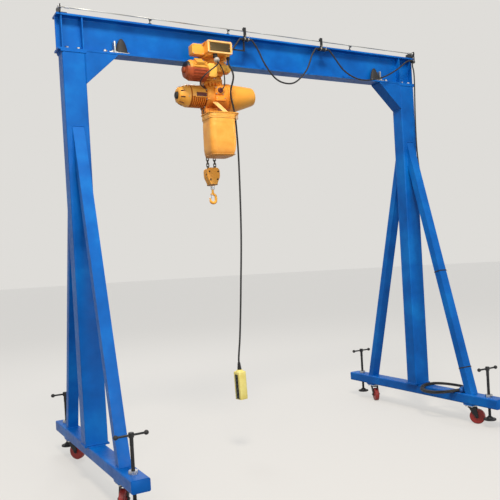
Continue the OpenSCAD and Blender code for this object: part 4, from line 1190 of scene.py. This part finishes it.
lead([(-489, -209, 2980), (-492, -222, 2960), (-511, -246, 2937), (-545, -263, 2911), (-583, -269, 2882),
      (-616, -262, 2855), (-636, -236, 2830), (-632, -196, 2812), (-606, -154, 2803), (-574, -118, 2803),
      (-550, -90, 2806), (-540, -74, 2806)], "lead_to_hoist_motor", 5)
lead([(-489, -208, 2982), (-486, -207, 2974), (-470, -203, 2962), (-440, -192, 2930), (-415, -168, 2890),
      (-402, -146, 2855), (-400, -136, 2830), (-408, -134, 2806), (-420, -128, 2794), (-425, -124, 2791)],
     "lead_to_casting", 4.5)


# Chain bag: coated cloth sewn round a wire rim, sagging a little, with a folded hem

BAG_X, BAG_Y = -458, -142
RIM = [(x, z) for x, _, z in rounded_outline(0, 0, 244, 192, 47, 0, 9)]


def drawn_in(x, z):
    """The bottom is pulled in and up at the right, because the chain lies to the left."""
    full = 0.06 * math.exp(-((z - 2400) / 60) ** 2)
    return x * (1 + (full - 0.40 * (max(0, 2355 - z) / 80) ** 1.5) * max(0, x / 120))


def chain_bag():
    """The shell is drawn up from its bottom, ring by ring. Each level has its height, its share of the rim
    and how much it swells and creases."""
    ready()
    bpy.ops.mesh.primitive_circle_add(vertices=len(RIM), radius=1, fill_type="NGON")
    o = bpy.context.object

    def at(k, z, share, bulge):
        x, y = RIM[k]
        t = min(1, max(0, (z - 2272) / 290))
        a = math.atan2(y, x)
        r = math.hypot(x, y)
        swell = bulge * (1.5 * math.sin(math.pi * t)
                         + 1.6 * math.sin(3 * a + 1.0 + 2 * t) * math.sin(math.pi * t))
        crease = 2.6 * math.exp(-((z - 2530 + 22 * math.sin(a * 2 + 0.7)) / 8) ** 2)
        crease += 2.2 * math.exp(-((z - 2470 + 60 * (x / 120)) / 8) ** 2) * (1 if x < 0 else 0.35)
        crease += 2.4 * math.exp(-((z - 2325 - 34 * (x / 120) + 14 * math.sin(4 * a)) / 11) ** 2)
        grow = (r * share + swell - bulge * crease) / r
        return Vector((BAG_X + drawn_in(x * grow, z), BAG_Y + y * grow, z)) * MM

    for k, v in enumerate(o.data.vertices):
        v.co = at(k, 2271, 0.70, 0)
    bpy.ops.object.mode_set(mode="EDIT")
    bpy.ops.mesh.select_all(action="SELECT")
    bpy.ops.mesh.inset(thickness=0.02, depth=0)
    pick("edges", lambda e: e.is_boundary)
    levels = [(2272, 0.80, 0), (2276, 0.87, 0.1), (2284, 0.93, 0.25), (2296, 0.97, 0.5)]
    levels += [(2308 + 11.5 * k, 0.985, 1.0) for k in range(20)]
    levels += [(2537, 0.98, 0.7), (2546, 0.98, 0.4), (2552, 0.975, 0.3), (2556, 1.0, 0.1), (2572, 1.0, 0.1),
               (2586, 1.0, 0), (2589, 0.995, 0)]
    for z, share, bulge in levels:
        bpy.ops.mesh.extrude_region_move(TRANSFORM_OT_translate={"value": (0, 0, 0.001)})
        shape = bmesh.from_edit_mesh(o.data)
        for v in shape.verts:
            if v.select:
                a = math.atan2(v.co.y / MM - BAG_Y, v.co.x / MM - BAG_X)
                k = min(range(len(RIM)), key=lambda i: abs(math.remainder(
                    math.atan2(RIM[i][1], RIM[i][0]) - a, 2 * math.pi)))
                v.co = at(k, z, share, bulge)
        bmesh.update_edit_mesh(o.data)
    bpy.ops.mesh.select_all(action="SELECT")
    bpy.ops.mesh.normals_make_consistent(inside=False)
    bpy.ops.object.mode_set(mode="OBJECT")
    altered(o, "SUBSURF", levels=1, render_levels=1)
    altered(o, "SOLIDIFY", thickness=1.6 * MM, offset=-1)
    return o


bag = dressed(chain_bag(), "chain_bag_sewn", "trolley", CLOTH, "yellow_cloth", ["chain_bag"], smooth=60)


def sewn_ring(z, grow, size):
    """A round seam about the bag at a height."""
    return bar([(BAG_X + drawn_in(x * grow, z), BAG_Y + y * grow, z) for x, y in RIM], size, 8, True)


piping = route([(-400, -237.5, 2550), (-399, -238.5, 2480), (-397, -238.8, 2400), (-399, -237.6, 2330),
                (-404, -234, 2290)], 5)
dressed(joined([sewn_ring(2586, 0.995, 2.6), sewn_ring(2577, 0.998, 1.8), sewn_ring(2566, 1.0, 2.2),
                sewn_ring(2555, 1.0, 2.0), sewn_ring(2283, 0.93, 2.6), bar(piping, 2.2, 8)]),
        "chain_bag_hem", "trolley", PIPING, "yellow_cloth", smooth=60)
arm = joined([softened(plate([(-486, -96, 2696), (-446, -96, 2702), (-408, -206, 2594), (-450, -210, 2592)],
                             (0, 5, 5)), 1),
              softened(plate([(-450, -204, 2602), (-410, -200, 2604), (-408, -216, 2592),
                              (-450, -218, 2591)],
                             (0, 0, -4)), 1)])
dressed(arm, "bag_arm", "trolley", PALE_PAINT_AND_HIGHLIGHT, "orange_paint")


# Slack chain: a short run from the casting into the bag and a heap in the bag's bottom
LINK_STEP = 23.7


def one_link():
    """A long round link that stands upright."""
    line = []
    for k in range(24):
        a = 2 * math.pi * k / 24
        line.append((9 * math.cos(a), 0, 9 * math.sin(a) + (7 if math.sin(a) > 0 else -7)))
    return bar(line, 4, 8, True)


heap = []
for k in range(64):
    a = k * 2.4
    r = 10 + 46 * ((k * 0.618) % 1)
    heap.append(Matrix.Translation(Vector((BAG_X + r * 1.25 * math.cos(a), BAG_Y + r * math.sin(a),
                                           2292 + (k // 13) * 9)) * MM)
                @ Matrix.Rotation(a * 1.7, 4, "Z")
                @ Matrix.Rotation(math.radians(90 if k % 2 else 55), 4, "Y"))
hang = route([(-515, -52, 2632), (-512, -66, 2610), (-505, -80, 2570), (-498, -92, 2520), (-490, -104, 2450),
              (-482, -112, 2380), (-478, -118, 2340)], 8)
passed = 0.0
for a, b in zip(hang, hang[1:]):
    passed += (b - a).length
    if passed >= LINK_STEP:
        passed -= LINK_STEP
        heap.append(Matrix.Translation(b * MM) @ (b - a).to_track_quat("Z", "Y").to_matrix().to_4x4()
                    @ Matrix.Rotation(math.radians(45 if len(heap) % 2 else -45), 4, "Z"))
dressed(repeated(one_link(), heap), "slack_chain", "trolley", CHAIN, "bright_steel", smooth=60)


# The two falls of load chain between the casting and the block, with their ends hidden in both
falls = repeated(one_link(), [
    Matrix.Translation(Vector((HOOK_X + s * FALL, 0, BLOCK_TOP - 14 + (i + 0.5) * LINK_STEP)) * MM)
    @ Matrix.Rotation(math.radians(45 if i % 2 == 0 else -45), 4, "Z")
    for s in (-1, 1) for i in range(-3, 22)])
finished(falls, "load_chain_links", CHAIN, "bright_steel", ["load_chain"], 60)
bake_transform(falls)


# Hook block: two cast halves held by screws, round at the top and drawn in to the swivel

def block_body():
    """Two bored halves with a dish on each, over a core that fills the joint between them."""
    x = HOOK_X
    outline = []
    for sx, a0 in ((1, 0), (-1, 90)):
        for k in range(7):
            a = math.radians(a0 + 15 * k)
            outline.append((x + sx * 26 + 28 * math.cos(a), 0, BLOCK_TOP - 28 + 28 * math.sin(a)))
    outline += [(x - 54, 0, BLOCK_TOP - 62), (x - 51, 0, BLOCK_TOP - 78), (x - 34, 0, BLOCK_LOW + 24),
                (x - 28, 0, BLOCK_LOW + 4), (x - 24, 0, BLOCK_LOW), (x + 24, 0, BLOCK_LOW),
                (x + 28, 0, BLOCK_LOW + 4), (x + 34, 0, BLOCK_LOW + 24), (x + 51, 0, BLOCK_TOP - 78),
                (x + 54, 0, BLOCK_TOP - 62)]
    parts = []
    for f in (-1, 1):
        half = plate([(a, f * 0.7, c) for a, _, c in outline], (0, f * 36.3, 0))
        bores = [turned([(0, 13.5), (40, 13.5)], (x + s * FALL, 0, BLOCK_TOP - 34), UP, 28) for s in (-1, 1)]
        parts.append(hollowed(softened(half, 8, 4, 40), bores))
        dish = turned([(0, 21), (2, 21), (3.6, 19.4), (3.6, 15), (1.4, 12.5)], (x, f * 34, BLOCK_TOP - 60),
                      (0, f, 0), 40)
        parts.append(dish)
    core = plate([(x + (a - x) * 0.97, -1, BLOCK_TOP - 68 + (c - BLOCK_TOP + 68) * 0.97)
                  for a, _, c in outline], (0, 2, 0))
    core = hollowed(core, [turned([(0, 13.5), (40, 13.5)], (x + s * FALL, 0, BLOCK_TOP - 34), UP, 28)
                           for s in (-1, 1)])
    return joined(parts + [core])


dressed(block_body(), "hook_block_cast", "hook_block", COVER, "orange_paint", ["hook_block"])
fixed(cap_screw, [spot((HOOK_X + dx, f * 36, BLOCK_TOP + dz), (0, f, 0), size=0.75) for dx, dz in
                  ((-37, -32), (37, -32), (-30, -92), (30, -92)) for f in (-1, 1)],
      "block_screws", "hook_block", BLACK, "bright_steel")


# Hook: forged and tapered, with a turned shank, a thrust collar, ears and a sprung latch

def forged_hook():
    """A bar along the shank, the quarter bend and the bowl, thickest under the load, with two ears."""
    x, z = HOOK_X, BOWL_Z
    line = [(x, 0, BLOCK_LOW + 10), (x, 0, z + 66), (x, 0, z + 52)]
    size = [9, 9, 9.6]
    for k in range(0, 9):
        a = math.radians(90 - 90 * k / 8)
        line.append((x + BOWL_R * math.cos(a), 0, z + 20 + BOWL_R * math.sin(a)))
        size.append(9.6 + k / 8)
    line += [(x + BOWL_R, 0, z + 10)]
    size += [10.6]
    for k in range(0, 21):
        a = math.radians(-195 * k / 20)
        line.append((x + BOWL_R * math.cos(a), 0, z + BOWL_R * math.sin(a)))
        size.append(10.6 + 0.8 * math.sin(math.pi * k / 18) if k < 16 else 10.9 - 1.0 * (k - 15))
    line += [(x - 26.5, 0, z + 12), (x - 29, 0, z + 17)]
    size += [5.4, 4.0]
    body = bar(line, size, 20)
    for v in body.data.vertices:
        if v.co.z < (z + 60) * MM:
            v.co.y *= 0.86
    ears = [softened(plate([(x - 17.5, f * 5.2, z + 50), (x - 7, f * 5.2, z + 50), (x - 5, f * 5.2, z + 36),
                            (x - 17.5, f * 5.2, z + 38)], (0, f * 2.8, 0)), 0.8) for f in (-1, 1)]
    return joined([body] + ears)


dressed(forged_hook(), "hook_forged", "hook", YELLOW, "orange_paint", ["hook"], smooth=50)
skirt = softened(block((HOOK_X - 28.6, -37.6, BLOCK_LOW + 2), (HOOK_X + 28.6, 37.6, BLOCK_LOW + 7.5), 0.8),
                 0.5)
pin = turned([(0, 8), (0.8, 8), (1.6, 6.6)], (HOOK_X - 53.6, -14, BLOCK_TOP - 52), (-1, 0, 0), 24)
dressed(joined([skirt, pin]), "block_skirt", "hook_block", RUBBER, "black_rubber")
dressed(joined([turned([(0, 12.5), (1, 14.6), (9, 15), (20, 15), (27, 15), (28.6, 13)],
                       (HOOK_X, 0, BLOCK_LOW - 30), UP, 40),
                turned([(-9, 2), (-8.2, 2.6), (8.2, 2.6), (9, 2)], (HOOK_X - 13, 0, BOWL_Z + 42), (0, 1, 0),
                       12)]),
        "hook_collar", "hook", ZINC, "bright_steel")


def latch():
    """A pressed tongue with its eye and spring."""
    x, z = HOOK_X - 13, BOWL_Z
    tongue = plate([(x - 1.4, -4.4, z + 39), (x - 1.4, 4.4, z + 39), (x - 1.4, 3.4, z + 12),
                    (x - 1.4, 2.2, z + 9), (x - 1.4, -2.2, z + 9), (x - 1.4, -3.4, z + 12)], (2.4, 0, 0),
                    0.5)
    eye = turned([(-4.4, 3), (-3.8, 3.9), (3.8, 3.9), (4.4, 3)], (x, 0, z + 42), (0, 1, 0), 20)
    coil = bar([(x + 3.2 * math.cos(k * 0.9), -3.6 + k * 0.16, z + 42 + 3.2 * math.sin(k * 0.9))
                for k in range(46)],
               0.5, 6)
    return joined([tongue, eye, coil])


dressed(latch(), "hook_latch_pressed", "hook_latch", ZINC, "bright_steel", ["hook_latch"])


# Pendant: moulded case leaning on its cable, a column of round buttons, a ribbed boot

def hung(o):
    """Puts a piece modelled under the origin where the pendant hangs."""
    o.data.transform(Matrix.Translation(Vector((-405, -120, 703.2)) * MM)
                     @ Matrix.Rotation(math.radians(-1.5), 4, "Y")
                     @ Matrix.Rotation(math.radians(10), 4, "Z"))
    return o


def pendant_case():
    """A rounded case with the seam of its halves, a foot and a shoulder under the boot."""
    shell = softened(block((-34, -38, -285), (34, 38, -70)), 10, 4)
    seam = block((-6, -38.7, -281), (-4.6, 38.7, -74), 0.5)
    foot = softened(block((-32, -36, -285.4), (32, 36, -278)), 2)
    shoulder = turned([(0, 31), (5, 29), (10, 24), (14, 19)], (0, 0, -72), UP, 32)
    return hung(joined([shell, seam, foot, shoulder]))


def pendant_boot():
    """A boot of seven ribs that taper to the cable."""
    rings = [(-62, 17)]
    for k in range(7):
        z = -58 + k * 8
        r = 16 - k * 0.9
        rings += [(z, r + 1.3), (z + 3, r + 1.3), (z + 3.6, r - 1.6), (z + 7, r - 1.8)]
    return hung(turned(rings + [(-1, 8.6), (0, 8)], (0, 0, 0), UP, 28))


def pendant_column(guards):
    """Six buttons in a column on the face toward the left, each in a raised round guard on a dark strip."""
    parts = [] if not guards else [softened(block((-35.2, -17, -277), (-33, 17, -92)), 0.8)]
    for k in range(6):
        z = -108 - k * 31
        if guards:
            parts.append(turned([(0, 15), (3, 14.6), (4.4, 13.4), (4.4, 10.8), (0.5, 10.4)], (-34, 0, z),
                                (-1, 0, 0), 28))
        else:
            parts.append(turned([(0, 10.2), (2.6, 10.2), (3.8, 9), (4.2, 5)], (-34, 0, z), (-1, 0, 0), 24))
    return hung(joined(parts))


case = dressed(pendant_case(), "pendant_case", "trolley", PENDANT, "yellow_plastic", ["pendant"])
boot = dressed(pendant_boot(), "pendant_boot", "trolley", RUBBER, "black_rubber")
rims = dressed(pendant_column(True), "pendant_guards", "trolley", RUBBER, "black_rubber")
caps = dressed(pendant_column(False), "pendant_buttons", "trolley",
               moulded("dark_green_button", "#2d3a33", "#202a25", 0.4, 0.8),
               "black_rubber")


# Floor, light and camera

def shown_by(tree):
    """1 for the rays that show the background, by camera, gloss or glass, and 0 for all others."""
    rays = add(tree, "ShaderNodeLightPath")
    some = add(tree, "ShaderNodeMath", {"operation": "MAXIMUM"},
               {0: rays.outputs["Is Camera Ray"], 1: rays.outputs["Is Glossy Ray"]})
    return add(tree, "ShaderNodeMath", {"operation": "MAXIMUM"},
               {0: some.outputs[0], 1: rays.outputs["Is Transmission Ray"]}).outputs[0]


bpy.ops.mesh.primitive_circle_add(vertices=96, radius=60, fill_type="NGON", location=(0, 0, 0))
floor = bpy.context.object
floor.name = "floor"
made, tree, shader, place = started("pale_floor", 0.0, 0.9)
shader.inputs["Base Color"].default_value = colour("#7b7976")
strength = add(tree, "ShaderNodeMath", {"operation": "MULTIPLY"}, {0: shown_by(tree), 1: 0.74})
glow = add(tree, "ShaderNodeEmission", links={"Color": colour("#dcdad6"), "Strength": strength.outputs[0]})
both = add(tree, "ShaderNodeAddShader", links={0: shader.outputs[0], 1: glow.outputs[0]})
tree.links.new(both.outputs[0], next(n for n in tree.nodes if n.type == "OUTPUT_MATERIAL").inputs["Surface"])
floor.data.materials.append(made)

scene = bpy.context.scene
world = bpy.data.worlds.new("studio")
world.use_nodes = True
scene.world = world
tree = world.node_tree
tree.nodes.clear()
lit = add(tree, "ShaderNodeBackground", links={"Color": colour("#e9eef5"), "Strength": 0.5})
back = add(tree, "ShaderNodeBackground", links={"Color": colour("#dfddd9"), "Strength": 1.0})
mix = add(tree, "ShaderNodeMixShader", links={0: shown_by(tree), 1: lit.outputs[0], 2: back.outputs[0]})
add(tree, "ShaderNodeOutputWorld", links={"Surface": mix.outputs[0]})


def lamp(name, place, target, size, power, tint):
    """A round lamp that faces a target, in metres and watts."""
    data = bpy.data.lights.new(name, "AREA")
    data.shape = "DISK"
    data.size = size
    data.energy = power
    data.color = colour(tint)[:3]
    o = bpy.data.objects.new(name, data)
    scene.collection.objects.link(o)
    o.location = place
    o.rotation_mode = "QUATERNION"
    o.rotation_quaternion = (Vector(target) - Vector(place)).to_track_quat("-Z", "Y")


lamp("key_front", (-2.2, -4.6, 8.0), (0, 0, 1.9), 2.2, 600, "#fff4e4")
lamp("side_left", (-4.6, -3.6, 3.4), (-0.4, 0, 2.7), 1.6, 54, "#fff6ea")
lamp("fill_front", (0.5, -8.5, 2.2), (0, 0, 2.0), 3.0, 170, "#f4f4f6")
lamp("top_back", (1.0, 5.5, 6.5), (0, 0, 2.2), 3.0, 200, "#ffffff")

# The camera's place, its turns, and its focal length and upward shift in the photograph's pixels
EYE = (-2.7605, -4.6123, 1.4846)
YAW, PITCH, ROLL = 0.508, -0.011, -0.057
PHOTO_WIDTH, FOCAL, RISE = 500, 660.8, 16.8
forward = Vector((math.sin(YAW) * math.cos(PITCH), math.cos(YAW) * math.cos(PITCH), math.sin(PITCH)))
right = Vector((math.cos(YAW), -math.sin(YAW), 0))
upward = right.cross(forward)
across = math.cos(ROLL) * right + math.sin(ROLL) * upward
along = -math.sin(ROLL) * right + math.cos(ROLL) * upward
camera_data = bpy.data.cameras.new("camera")
camera_data.sensor_width = 36
camera_data.lens = FOCAL / PHOTO_WIDTH * 36
camera_data.shift_y = RISE / PHOTO_WIDTH
camera_data.clip_start, camera_data.clip_end = 0.1, 200
camera = bpy.data.objects.new("camera", camera_data)
scene.collection.objects.link(camera)
camera.matrix_world = Matrix.Translation(EYE) @ Matrix(
    (across, along, -forward)).transposed().to_4x4()
scene.camera = camera
scene.view_settings.view_transform = "Standard"

ready()
